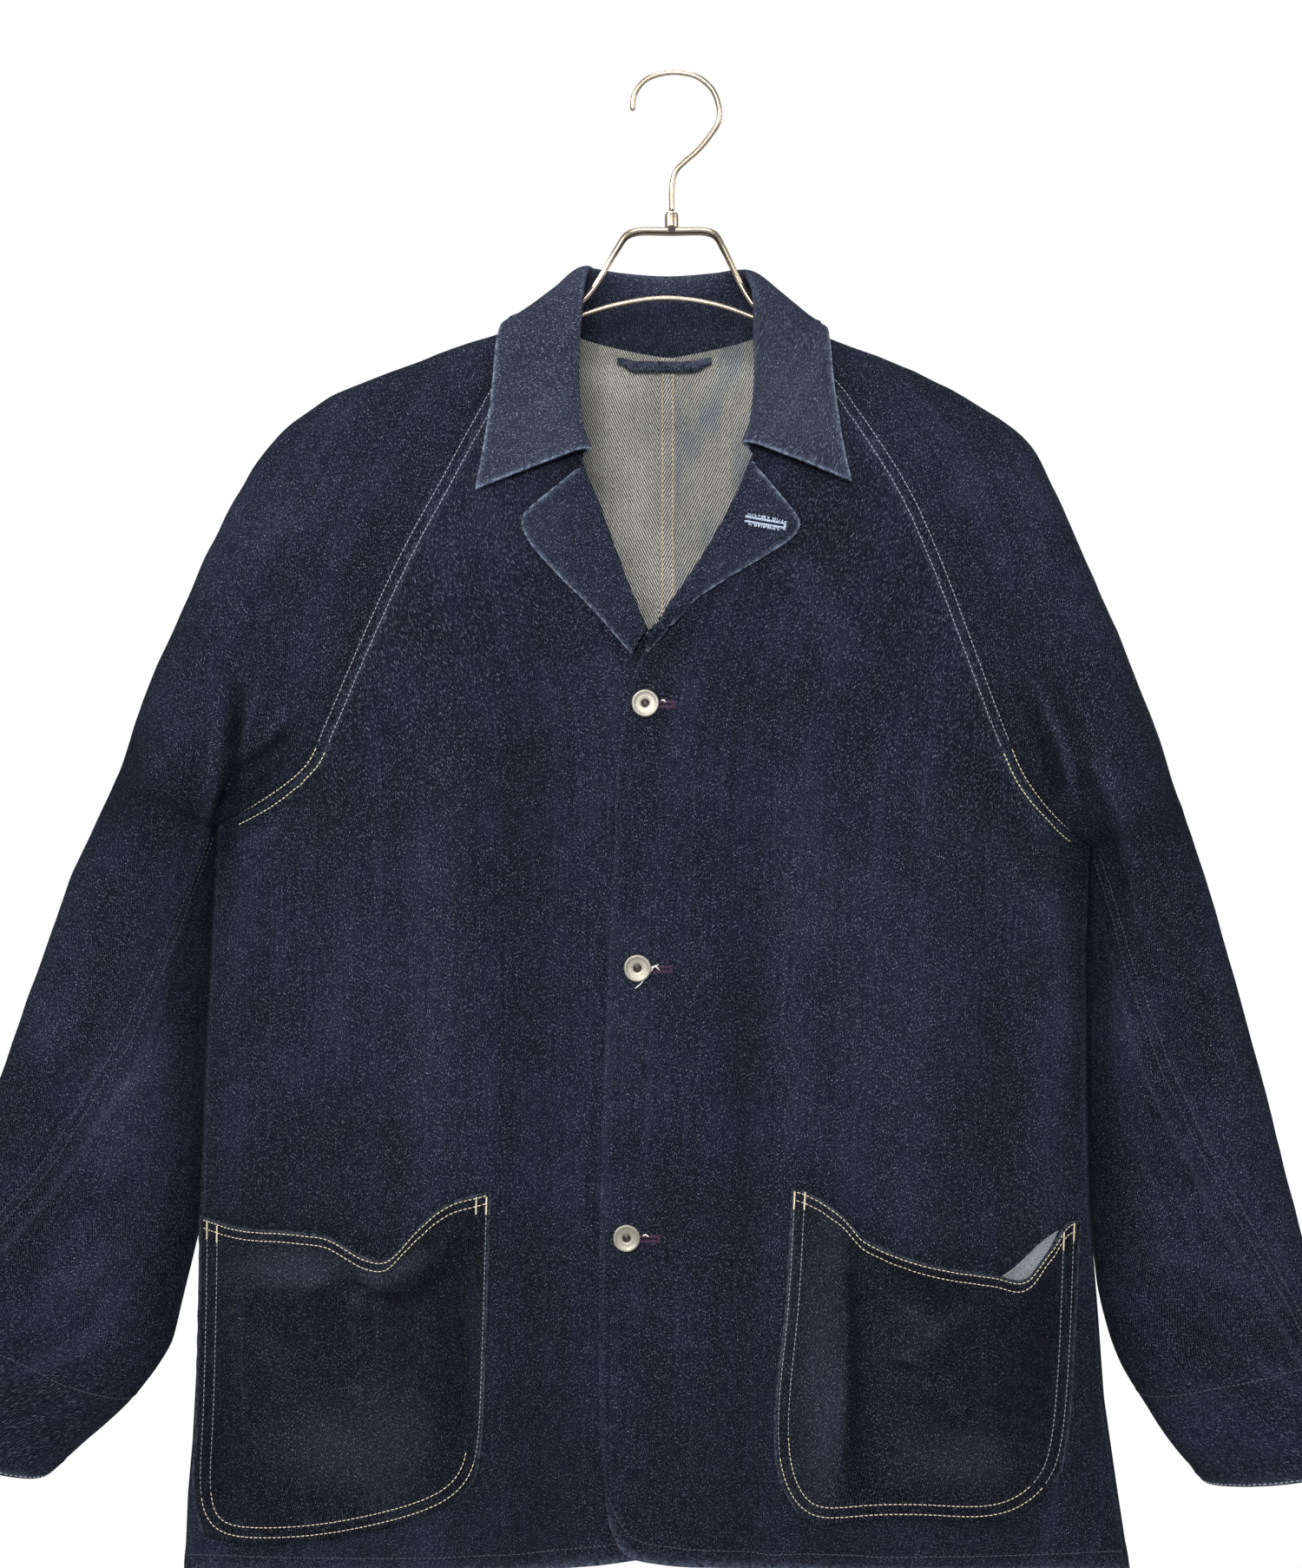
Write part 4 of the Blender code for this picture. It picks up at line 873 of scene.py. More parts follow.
# %% The finishes of this jacket
INDIGO = denim("denim", (.0008, .0011, .0030), (.0022, .0030, .0074), (.0072, .0095, .0205),
               (.132, .146, .205), (.085, .105, .150))
# The pockets' denim is darker and greyer than the body's, as painted shade.
POCKET_SHADED_INDIGO = denim("pocket_denim_painted_shade", (.0006, .0007, .0016), (.0015, .0018, .0040), (.0062, .0078, .0150),
                      (.112, .120, .155), (.085, .100, .135), 0.85)
LAPEL_INDIGO = denim("lapel_denim", (.0018, .0028, .0066), (.0050, .0070, .0155), (.0110, .0150, .0300),
                     (.165, .184, .250), (.160, .200, .275), 0.9, 0.7)
COLLAR_INDIGO = denim("collar_denim", (.0046, .0062, .0130), (.0096, .0124, .0250), (.0190, .0235, .0440),
                      (.200, .220, .290), (.165, .205, .280), 1.1, 0.7)
WRONG_SIDE = denim("denim_wrong_side", (.370, .364, .330), (.580, .566, .506), (.780, .756, .675),
                   (.016, .020, .026), (.300, .300, .290), 0.6, 0.6, 0.95, None, 640)
WRONG_TINTED = denim("denim_wrong_side_tinted", (.350, .334, .300), (.550, .520, .460), (.740, .698, .610),
                     (.016, .020, .026), (.300, .300, .290), 0.6, 0.6, 0.95,
                     ((.15, .24, .33), .42, .62, 36), 640)
POCKET_INSIDE = denim("pocket_wrong_side", (.120, .124, .130), (.190, .194, .200), (.300, .300, .300),
                      (.030, .045, .080), (.300, .310, .330), 0.9, 0.6, 0.3)
ECRU = thread("thread_ecru", (.720, .640, .460), (.440, .380, .260))
PALE = thread("thread_pale", (.300, .320, .350), (.150, .165, .200))
OCHRE = thread("thread_ochre", (.800, .590, .300), (.500, .360, .180))
DIM = thread("thread_dim", (.062, .068, .085), (.030, .034, .046))
NIGHT = thread("thread_indigo", (.022, .026, .048), (.010, .012, .024))
PLUM = thread("thread_plum", (.060, .030, .060), (.026, .014, .030))
BUTTON_METAL = metal("button_metal", (.330, .315, .265), (.190, .178, .140), 0.52)
HANGER_METAL = metal("hanger_metal", (.420, .345, .260), (.330, .265, .195), 0.30, (300, 300, 4000))
# Dark metal for the shank's head: painted shade in the button's hole.
SHANK_SHADE_METAL = metal("shank_painted_shade_metal", (.110, .105, .090), (.050, .046, .040), 0.4)
# Dark metal for the disc under the ferrule: painted shade of a recess.
RECESS_SHADE_METAL = metal("hanger_recess_painted_shade", (.060, .055, .050), (.030, .028, .026), 0.5)

# %% [markdown]
# ## Stitches
#
# Contrast stitching is what the eye reads first on work clothes. Each stitch is a short thread with
# both ends sunk into the cloth. A row of them follows a line that lies a few millimetres inside an
# edge, and all the stitches of a row set are one mesh.

# %% Stitch rows
STITCH_PITCH, STITCH_LENGTH, STITCH_RADIUS = 3.1, 2.45, 0.36


def beside(grid, normals, edge, inset, keep_off=0.0):
    """Line on a grid at a distance from one edge, with the normals there, clear of the ends."""
    if edge in ("right", "bottom"):
        grid, normals = grid[::-1, ::-1], normals[::-1, ::-1]
    if edge in ("top", "bottom"):
        grid, normals = grid.swapaxes(0, 1), normals.swapaxes(0, 1)
    gap = distances(grid)
    left = gap["left"]
    k = np.clip((left < inset).sum(axis=1) - 1, 0, left.shape[1] - 2)
    rows = np.arange(len(grid))
    share = ((inset - left[rows, k]) / np.maximum(left[rows, k + 1] - left[rows, k], 1e-6))[:, None]
    line = grid[rows, k] * (1 - share) + grid[rows, k + 1] * share
    ways = unit(normals[rows, k] * (1 - share) + normals[rows, k + 1] * share)
    inside = (gap["top"][rows, k] >= keep_off) & (gap["bottom"][rows, k] >= keep_off)
    return line[inside], ways[inside]


def offset_line(flat, inset, smooth):
    """Outline of a pocket moved in by inset: each point goes along the line's smoothed normal."""
    tangent = unit(running_mean(unit(np.gradient(flat, axis=0)), smooth))
    inward = np.stack([-tangent[:, 1], tangent[:, 0]], axis=1)
    centre = flat.mean(axis=0)
    inward *= 1 if ((centre - flat) * inward).sum() > 0 else -1
    return flat + inward * inset


def stitches(name, lines, finish, pitch=STITCH_PITCH, length=STITCH_LENGTH, radius=STITCH_RADIUS):
    """Joined mesh of stitches: four rings of four points each, pinched and sunk at both ends."""
    starts, ends, ups = [], [], []
    for line, ways in lines:
        run = run_along(line)
        at = np.arange(0, run[-1] - length, pitch)
        for store, place, values in ((starts, at, line), (ends, at + length, line), (ups, at, ways)):
            store.append(read_at(run, values, place))
    starts, ends, ups = np.vstack(starts), np.vstack(ends), unit(np.vstack(ups))
    way = unit(ends - starts)
    side = unit(np.cross(way, ups))
    shares = np.array([0, 0.22, 0.78, 1.0])[:, None, None]
    widths = np.array([0.35, 1.0, 1.0, 0.35])[:, None, None] * radius
    heights = np.array([-0.5, 0.45, 0.45, -0.5])[:, None, None] * radius
    centre = starts + (ends - starts) * shares + ups * heights
    turn = np.arange(4) * np.pi / 2 + np.pi / 4
    ring = [centre + widths * (np.cos(a) * side + np.sin(a) * ups) for a in turn]
    points = np.stack(ring, axis=1).transpose(2, 0, 1, 3).reshape(-1, 3)
    base = np.array([(4 * r + k, 4 * r + (k + 1) % 4, 4 * r + 4 + (k + 1) % 4, 4 * r + 4 + k)
                     for r in range(3) for k in range(4)] + [(3, 2, 1, 0), (12, 13, 14, 15)])
    faces = (base[None] + 16 * np.arange(len(starts))[:, None, None]).reshape(-1, 4)
    if volume(points[:16], base) < 0:
        faces = faces[:, ::-1]
    print(name, len(starts), "stitches")
    return finish_mesh(name, points, faces, [finish], sharp=60)


def dress(piece, slot_name, *nodes):
    """A finished piece rides on the one body and may stand for solids, which are hidden. slot_name is not
    used.
    """
    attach(piece, "root")
    if nodes:
        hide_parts(*nodes)
    return piece


# %% [markdown]
# ## Cut and hang the panels
#
# Fronts, backs and sleeves are made together, because they share their seams: the borders are the
# same points, and the walls turn the same way there. Only then does each sheet get its relief.

# %% Panels
panels = {}
for side in SIDES:
    front = front_grid(side)
    back = back_grid(side, front)
    sleeve = sleeve_grid(side, front, back)
    middle = SLEEVE_COLUMNS // 2
    axis = (sleeve[:, :1] + sleeve[:, middle:middle + 1]) / 2
    ways = [outwards(front, np.array([0, -1.0, 0])), outwards(back, np.array([0, 1.0, 0])),
            outwards(sleeve, sleeve - axis)]
    above, below = np.s_[:CAP_ROWS], np.s_[CAP_ROWS + 1:]
    share_normals(ways[0][below, -1], ways[1][below, -1])
    share_normals(ways[2][below, 0], ways[2][below, -1])
    share_normals(ways[0][above, -1], ways[2][above, 0])
    share_normals(ways[1][above, -1], ways[2][above, -1])
    ways[0][CAP_ROWS, -1] = ways[2][CAP_ROWS, 0] = UNDERARM_WAY * [1, -1, 1]
    ways[1][CAP_ROWS, -1] = ways[2][CAP_ROWS, -1] = UNDERARM_WAY
    ways[1][:, 0] = [0, 1, 0]
    for kind, grid, way in zip(("front", "back", "sleeve"), (front, back, sleeve), ways):
        panels[f"{kind}_{side}"] = (grid, way)

SEEDS = {name: 11 + 7 * k for k, name in enumerate(panels)}
OPEN = {"front": ("left", "bottom"), "back": ("bottom",), "sleeve": ("bottom",)}
HEMS = {"front": {"left": (7, 0.9), "bottom": (14, 0.9), "right": (9, 0.5)},
        "back": {"bottom": (14, 0.9), "left": (5.5, 0.6), "right": (9, 0.5)},
        "sleeve": {"bottom": (9, 1.0), "left": (9, 0.5), "right": (9, 0.5)}}
cloth = {}
for name, (grid, way) in panels.items():
    kind, side = name.split("_")
    lines = {"front": FRONT_CREASES, "sleeve": SLEEVE_CREASES}.get(kind, {}).get(side, [])
    ahead = grid[..., 1] < 12 if kind == "sleeve" else np.ones(grid.shape[:2])
    height = relief(grid, SEEDS[name], OPEN[kind], 1.15 if kind == "sleeve" else 0.85)
    x, z = seen(grid)
    gap = distances(grid)
    fade = smoothstep(0, 14, gap["right"]) * smoothstep(0, 14, gap["top"])
    fade = fade * (smoothstep(0, 14, gap["left"]) if kind == "sleeve" else 1.0)
    height = height + creases(lines, x, z) * ahead * fade
    if kind == "sleeve":
        height = height + soft_patches(SLEEVE_TRIM[side], x, z) * fade
    broad = folds({"front": FRONT_FOLDS, "back": BACK_FOLDS, "sleeve": SLEEVE_FOLDS[side]}[kind], x, z)
    # Paleness: ridges of the relief and of the broad folds paler, as ridge wear and painted light, their
    # valleys darker as painted shade; random large patches of tone; darker towards the hem, as painted shade.
    pale = 0.22 * height + 0.035 * broad + 0.18 * rumple(x, z, 90, SEEDS[name] + 40)
    pale = pale - 0.25 * smoothstep(-700, -960, z)
    grid = grid + way * height[..., None]
    wall = thickness(grid, HEMS[kind])
    edge_wear = np.exp(-gap["bottom"] / 2.5) * 0.7
    if kind == "front":
        edge_wear = np.maximum(edge_wear, np.exp(-gap["left"] / 1.2) * 0.14)
    if kind != "back":
        edge_wear = np.maximum(edge_wear, 0.16 * np.exp(-((gap["right"] - 9) / 2.0) ** 2))
    inside = WRONG_TINTED if name == "back_left" else WRONG_SIDE
    piece = sheet(f"jacket_{name}", grid, way, wall, [INDIGO, inside], edge_wear, pale)
    dress(piece, "denim", name)
    cloth[name] = (grid, way, wall)
print("panels:", {name: data[0].shape[:2] for name, data in cloth.items()})


def outer_face(name):
    """Outer face of a panel, with its normals, for stitches and pieces that lie on it."""
    grid, way, wall = cloth[name]
    return grid + way * wall[..., None], way


# %% [markdown]
# ## Pockets and lapels
#
# A patch pocket and a turned lapel lie on a front. Their outline is filled with a grid, each point is
# set on the nearest point of the front's outer face, and then lifted: most at the sagging mouth, and
# least at the sewn edges.

# %% Pieces that lie on a front
POCKET_ROWS, POCKET_COLUMNS = 84, 78


def patch(edges, rows, columns):
    """Coons patch: the sum of two ruled surfaces less the bilinear one through the corners."""
    first, last = along(edges["mouth"], columns), along(edges["bottom"], columns)
    down_first, down_last = along(edges["outer"], rows), along(edges["inner"], rows)
    if np.linalg.norm(first[0] - down_first[0]) > np.linalg.norm(first[0] - down_last[0]):
        down_first, down_last = down_last, down_first
    if np.linalg.norm(last[0] - down_first[-1]) > np.linalg.norm(last[-1] - down_first[-1]):
        last = last[::-1]
    u = np.linspace(0, 1, columns)[None, :, None]
    v = np.linspace(0, 1, rows)[:, None, None]
    ruled = (1 - v) * first[None] + v * last[None] + (1 - u) * down_first[:, None] + u * down_last[:, None]
    corners = (1 - v) * ((1 - u) * first[0] + u * first[-1]) + v * ((1 - u) * last[0] + u * last[-1])
    return ruled - corners


def seat(side, flat):
    """Points and normals on a front's outer face where flat (x, z) is seen."""
    tree = tree_of(outer_face(f"front_{side}")[0])
    here = front_place(side, flat[..., 0], flat[..., 1]) - np.array([0, CLOTH, 0])
    seated = np.array([tree.find_nearest(p)[0] for p in here.reshape(-1, 3)]).reshape(here.shape)
    return seated, outwards(seated, np.array([0, -1.0, 0]))


LAPEL_ROWS, LAPEL_COLUMNS, TIP_RADIUS = 90, 56, 8
on_top = {}
for side in SIDES:
    flat = patch(POCKET[side], POCKET_ROWS, POCKET_COLUMNS)
    seated, way = seat(side, flat)
    u = np.linspace(0, 1, POCKET_COLUMNS)[None, :]
    v = np.linspace(0, 1, POCKET_ROWS)[:, None]
    sag = 8 * np.sin(np.pi * u) ** 0.8 * (1 - v) ** 1.5 + 2.5 * np.sin(np.pi * u) * np.sin(np.pi * v)
    inside = np.clip(np.sin(np.pi * u), 0, 1) ** 0.4 * np.clip(1 - v ** 6, 0, 1)
    wrinkle = creases(POCKET_CREASES[side], flat[..., 0], flat[..., 1]) * inside
    ripple = relief(seated, 91 + len(on_top), ("top",), 0.7)
    lift = 0.5 + sag + np.maximum(wrinkle, -sag * 0.8 - 0.3) + np.maximum(ripple, -0.3)
    grid = seated + way * lift[..., None]
    way = outwards(grid, np.array([0, -1.0, 0]))
    wall = thickness(grid, {"top": (16, 0.9), "left": (9, 0.5), "right": (9, 0.5), "bottom": (9, 0.5)})
    gap = distances(grid)
    worn = np.maximum(np.exp(-gap["left"] / 1.2), np.exp(-gap["right"] / 1.2)) * 0.5
    worn = np.maximum(worn, np.exp(-gap["top"] / 1.3) * 0.4)
    # Paleness of the pocket: ridges of its wrinkles and ripples paler, as ridge wear and painted light,
    # valleys darker as painted shade; darker overall as painted shade; random patches of tone; and the listed
    # patches of painted light and painted shade.
    pale = 0.20 * wrinkle + 0.25 * ripple - 0.1 + 0.2 * rumple(flat[..., 0], flat[..., 1], 60, 77)
    pale = pale + soft_patches(POCKET_LIGHT_AND_SHADE[side], flat[..., 0], flat[..., 1])
    piece = sheet(f"jacket_pocket_{side}", grid, way, wall, [POCKET_SHADED_INDIGO, POCKET_INSIDE], worn, pale)
    dress(piece, "denim", f"pocket_{side}")
    on_top[f"pocket_{side}"] = (grid + way * wall[..., None], way)

    roll = along(LAPEL_ROLL[side], LAPEL_ROWS)
    edge = running_mean(along(LAPEL_EDGE[side], LAPEL_ROWS), 13, True)
    t = np.linspace(0, 1, LAPEL_COLUMNS)
    flat = roll[:, None] + (edge - roll)[:, None] * t[None, :, None]
    width = np.linalg.norm(edge - roll, axis=1)[:, None]
    run = np.linspace(0, run_along(edge)[-1], LAPEL_ROWS)[:, None]
    a = np.clip(TIP_RADIUS - run, 0, None) + 0 * t
    b = np.clip(TIP_RADIUS - (1 - t) * width, 0, None)
    share = 1 - np.maximum(a, b) / np.maximum(np.hypot(a, b), 1e-9)
    flat = flat + unit(np.gradient(edge, axis=0))[:, None] * (a * share)[..., None]
    flat = flat + (roll - edge)[:, None] / width[..., None] * (b * share * (b > 0))[..., None]
    seated, way = seat(side, flat)
    lift = 0.4 + 3.0 * np.sin(np.pi * t) + 1.2 * t
    grid = seated + way * (lift + 0.5 * relief(seated, 131 + len(on_top), ("right",), 0.6))[..., None]
    way = outwards(grid, np.array([0, -1.0, 0]))
    gap = distances(grid)
    wall = thickness(grid, {"right": (7, 0.9), "top": (7, 0.9)})
    worn = np.maximum(np.exp(-gap["right"] / 0.9), np.exp(-gap["top"] / 0.9))
    piece = sheet(f"jacket_lapel_{side}", grid, way, wall, [LAPEL_INDIGO, INDIGO], worn)
    dress(piece, "collar_denim", f"lapel_{side}")
    on_top[f"lapel_{side}"] = (grid + way * wall[..., None], way)

# %% [markdown]
# ## The collar
#
# The collar is one strip sewn to the neck seam. It rises as a stand, rolls over and falls as the leaf.
# Eight lines say its section: base, stand, roll and edge. A cubic through them gives the smooth
# turn, and worn indigo shows where the fold and the edge rub.

# %% Collar
COLLAR_STATIONS, COLLAR_ROWS, COLLAR_GAP = 230, 64, 1.5


def collar_base():
    """Whole neck seam as one line, with the cloth's outward direction along it."""
    line, ways = [], []
    order = [("front_right", 1), ("sleeve_right", 1), ("back_right", -1),
             ("back_left", 1), ("sleeve_left", -1), ("front_left", -1)]
    for name, turn in order:
        grid, normal = panels[name]
        line.append(grid[0, ::turn])
        ways.append(normal[0, ::turn])
    line, ways = np.vstack(line), np.vstack(ways)
    length = run_along(line)
    half = length[len(panels["front_right"][0][0]) + SLEEVE_COLUMNS + BACK_COLUMNS]
    share = np.where(length < half, length / half / 2, 0.5 + (length - half) / (length[-1] - half) / 2)
    at = np.linspace(0, 1, COLLAR_STATIONS)
    return at, read_at(share, line, at), read_at(share, ways, at)


def collar_line(table, at):
    """One line of the collar, from the right front end round the back to the left front end."""
    right = np.array(table["right"], float)
    left = np.array(table["left"], float)[-2::-1] * [-1, 1, 1, 1] + [2, 0, 0, 0]
    keys = np.vstack([right, left])
    return through(keys[:, 0] / 2, sight(keys[:, 1], keys[:, 2], keys[:, 3]), at)


at, seam, seam_ways = collar_base()
seam_ways = unit(running_mean(seam_ways, 13))
roll, edge = collar_line(COLLAR_ROLL, at), collar_line(COLLAR_EDGE, at)
tangent = unit(np.gradient(roll, axis=0))
up = roll - (seam + edge) / 2
up = unit(up - tangent * (up * tangent).sum(axis=1, keepdims=True))
out = np.cross(tangent, up)
facing = ((edge - np.array([CENTRE_BACK, 0, 0])) * [1, 1, 0] * out).sum(axis=1, keepdims=True)
out *= np.where(facing > 0, 1, -1)
base = seam + seam_ways * 1.5
base = base + unit(roll - base) * COLLAR_GAP * 0.3
stand, leaf = roll - out * COLLAR_FOLD, roll + out * COLLAR_FOLD
lines = np.stack([base, base + (stand - base) * 0.5 - out * 0.4, stand, roll + up * COLLAR_FOLD, leaf,
                  leaf + (edge - leaf) * 0.33 + out * 2.2, leaf + (edge - leaf) * 0.68 + out * 1.6, edge])
reach = np.cumsum([0, 15, 15, 4, 4, 22, 22, 22])
rows = np.sort(np.concatenate([np.linspace(0, reach[-1], COLLAR_ROWS - 8), np.linspace(28, 40, 8)]))
grid = through(reach, lines.reshape(8, -1), rows).reshape(COLLAR_ROWS, COLLAR_STATIONS, 3).swapaxes(0, 1)
away = np.broadcast_to(out[:, None], grid.shape) * (rows > 36)[None, :, None]
way = outwards(grid, away)
way[:, 0] = -seam_ways
height = relief(grid, 171, ("right", "top", "bottom"), 0.8) * smoothstep(40, 60, rows)[None, :]
grid = grid + way * height[..., None]
gap = distances(grid)
wall = thickness(grid, {"right": (7, 0.8), "top": (7, 0.8), "bottom": (7, 0.8)})
worn = np.maximum.reduce([np.exp(-gap[k] / 0.9) for k in ("right", "top", "bottom")])
worn = np.maximum(worn, 0.12 * np.exp(-((rows - 34) / 2.5) ** 2)[None, :])
# Paleness of the collar: ridges of the leaf's relief paler, as ridge wear and painted light, and the stand
# darker, painted shade inside the neck.
pale = 0.25 * height - 0.75 * (1 - smoothstep(16, 33, rows))[None, :]
worn = worn * (rows > 20)
collar = sheet("jacket_collar", grid, way, wall, [COLLAR_INDIGO, INDIGO], worn, pale, True)
dress(collar, "collar_denim", "collar")
on_top["collar"] = (grid + way * wall[..., None], way)

# %% [markdown]
# ## Inside the neck
#
# The open neck shows the wrong side of the back, with its felled seam: a narrow raised band held by
# two rows of ochre thread. A loop for hanging is sewn under the collar.

# %% Felled seam and loop
FELL_HALF, FELL_RISE = 5.5, 0.9


def band(name, centre, half_width, rise, way_side, out_way, finishes, columns=9):
    """Low domed band along a line: height is rise times the square root of 1 - s^4 across it."""
    s = np.linspace(-1, 1, columns)[None, :, None]
    grid = centre[:, None] + way_side[:, None] * half_width * s
    grid = grid + out_way[:, None] * rise * np.sqrt(np.clip(1 - s ** 4, 0, 1))
    ways = np.broadcast_to(out_way[:, None], grid.shape)
    return sheet(name, grid - ways * 0.5, ways, 0.5, finishes), grid, ways


back_edge = (cloth["back_right"][0][:, 0] + cloth["back_left"][0][:, 0]) / 2
inward = np.tile([0.0, -1.0, 0.0], (len(back_edge), 1))
crosswise = np.tile([1.0, 0.0, 0.0], (len(back_edge), 1))
fell, fell_grid, fell_ways = band("jacket_back_seam", back_edge + inward * 0.3, FELL_HALF, FELL_RISE,
                                  crosswise, inward, [WRONG_SIDE, WRONG_SIDE])
dress(fell, "denim")
ochre_rows = [beside(fell_grid, fell_ways, edge, 2.2) for edge in ("left", "right")]
dress(stitches("stitches_back_seam_inside", ochre_rows, OCHRE, radius=0.46), "denim")

LOOP_LEFT, LOOP_RIGHT, LOOP_TOP, LOOP_LOW, LOOP_HALF = -41.0, 20.5, -177.0, -180.6, 2.7
x = np.linspace(LOOP_LEFT, LOOP_RIGHT, 110)
ends = np.minimum(x - LOOP_LEFT, LOOP_RIGHT - x)
z = LOOP_TOP + (LOOP_LOW - LOOP_TOP) * smoothstep(0, 12, ends) + 0.25 * rumple(x, 0 * x, 9, 301)
half = LOOP_HALF * (0.45 + 0.55 * smoothstep(0, 9, ends))
turn = np.linspace(0, np.pi, 15)
depth = body_depth(x, z, BACK_DEPTHS, BACK_FOLDS) - 3.2 - 1.2 * smoothstep(0, 12, ends)
ring_x = np.broadcast_to(x[:, None], (len(x), len(turn)))
ring_y = depth[:, None] - 0.55 * half[:, None] * np.sin(turn)
ring_z = z[:, None] + half[:, None] * np.cos(turn) * (1 - 0.12 * np.sin(turn) ** 6)
grid = np.stack([ring_x, ring_y, ring_z], axis=-1)
way = outwards(grid, np.array([0, -1.0, 0]))
loop = sheet("jacket_hanging_loop", grid, way, 0.9, [COLLAR_INDIGO, INDIGO], 0.2 * np.ones(grid.shape[:2]))
dress(loop, "denim", "hanging_loop")

# %% [markdown]
# ## Rows of thread
#
# Ecru thread holds the mouths and bottoms of the pockets and the lower armholes. A cooler grey shows
# along the raglan seams and the sides of the pockets, a dim blue along the sleeves, the side seams
# and the hem, and the edges are sewn in indigo that hardly shows. The rows stop at the corners.

# %% All the stitch rows
TWIN, MOUTH_ROWS = (2.0, 8.4), (1.7, 6.8)
RAGLAN_INSET, NEEDLE_GAP = 1.8, 6.5
HEM_ROW, CUFF_ROW = 12.0, 74.0
corner_bars = []
for side in SIDES:
    grid, way = on_top[f"pocket_{side}"]
    tree = tree_of(grid)
    outline = np.vstack([along(POCKET[side]["outer"], 240), along(POCKET[side]["bottom"], 160)[::-1][1:],
                         along(POCKET[side]["inner"], 240)[::-1][1:]])
    outline = running_mean(resample(outline, 400), 45, True)
    rows = []
    for inset in TWIN:
        flat = resample(offset_line(outline, inset, 41), 400)
        keep = slice(0, 400) if inset < 4 or side == "left" else slice(0, 285)
        found = [look(tree, x, z) for x, z in flat[keep]]
        rows.append([np.array(part) for part in zip(*(pair for pair in found if pair is not None))])
    for line, ways in [rows[0], (rows[0][0][::-1], rows[0][1][::-1]), rows[1]]:
        corner_bars.append((line[5], unit(line[10] - line[0]), ways[5]))
    inner_end, inner_down, inner_way = corner_bars[-2]
    into = np.cross(inner_way, inner_down)
    into *= 1 if (grid.reshape(-1, 3).mean(axis=0) - inner_end) @ into > 0 else -1
    corner_bars.append((inner_end + into * 6.4, inner_down, inner_way))
    sides = [(line[part], ways[part]) for line, ways in rows for part in (np.s_[:128], np.s_[272:])
             if len(line[part]) > 9]
    low = [(line[127:273], ways[127:273]) for line, ways in rows]
    dress(stitches(f"stitches_pocket_side_{side}", sides, PALE, radius=0.27), "denim")
    low.extend(beside(grid, way, "top", inset, 1.5) for inset in MOUTH_ROWS)
    dress(stitches(f"stitches_pocket_{side}", low, ECRU, radius=0.30), "denim")
    raglan, lower = [], []
    for name in (f"front_{side}", f"back_{side}"):
        grid, way = outer_face(name)
        tree = tree_of(grid)
        line, ways = beside(grid[:CAP_ROWS], way[:CAP_ROWS], "right", RAGLAN_INSET)
        line, ways = line[::-1], ways[::-1]
        inward = unit(np.cross(ways, np.gradient(line, axis=0)))
        inward *= 1 if ((grid[:CAP_ROWS].reshape(-1, 3).mean(axis=0) - line) * inward).sum() > 0 else -1
        second = np.array([tree.find_nearest(p)[0] for p in (line + inward * NEEDLE_GAP).tolist()])
        split = int(0.80 * len(line))
        for row in (line, second):
            raglan.append((row[6:split], ways[6:split]))
            lower.append((row[split:-2], ways[split:-2]))
    dress(stitches(f"stitches_raglan_{side}", raglan, PALE, radius=0.33), "denim")
    dress(stitches(f"stitches_armhole_{side}", lower, ECRU), "denim")
    grid, way = outer_face(f"sleeve_{side}")
    rows = [beside(grid[CAP_ROWS + 4:], way[CAP_ROWS + 4:], "left", inset) for inset in TWIN]
    rows.append(beside(grid, way, "bottom", CUFF_ROW))
    dress(stitches(f"stitches_sleeve_{side}", rows, DIM), "denim")
    dress(stitches(f"stitches_cuff_{side}", [beside(grid, way, "bottom", 1.8)], PALE, 3.4, 2.2, 0.4), "denim")
    rows = []
    for name in (f"front_{side}", f"back_{side}"):
        grid, way = outer_face(name)
        rows.append(beside(grid, way, "bottom", HEM_ROW, 3.0))
    grid, way = outer_face(f"back_{side}")
    rows.extend(beside(grid[CAP_ROWS + 2:], way[CAP_ROWS + 2:], "right", inset) for inset in TWIN)
    rows.append(beside(grid, way, "left", 3.2))
    dress(stitches(f"stitches_back_hem_{side}", rows, DIM, radius=0.34), "denim")
    grid, way = outer_face(f"front_{side}")
    rows = [beside(grid, way, "left", 3.0, 3.0)]
    grid, way = on_top[f"lapel_{side}"]
    rows.extend(beside(grid, way, edge, 5.0, 5.0) for edge in ("right", "top"))
    dress(stitches(f"stitches_edge_{side}", rows, NIGHT), "denim")
grid, way = on_top["collar"]
dress(stitches("stitches_collar", [beside(grid, way, "right", 5.5, 5.5)], NIGHT), "collar_denim")

# %% [markdown]
# ## Bartacks and buttonholes
#
# A bartack is a short dense zigzag across a corner that takes strain. A buttonhole is the same
# zigzag, carried round a slit. Both are many small threads side by side, so they reuse the stitch.

# %% Dense threads


def bar(centre, along_way, up_way, length, width, count):
    """Zigzag of count threads across a bar: each is a two-point line from side to side."""
    side = np.cross(up_way, along_way)
    lines = []
    for t in np.linspace(-0.5, 0.5, count):
        middle = centre + along_way * length * t
        ends = np.array([middle - side * width / 2, middle + side * width / 2])
        lines.append((ends + up_way * 0.25, np.array([up_way, up_way])))
    return lines


tacks = []
for middle, down, normal in corner_bars:
    tacks.extend(bar(middle + normal * 0.15, down, normal, 10.5, 1.15, 26))
dress(stitches("bartacks_pockets", tacks, ECRU, 1.1, 1.05, 0.3), "denim")

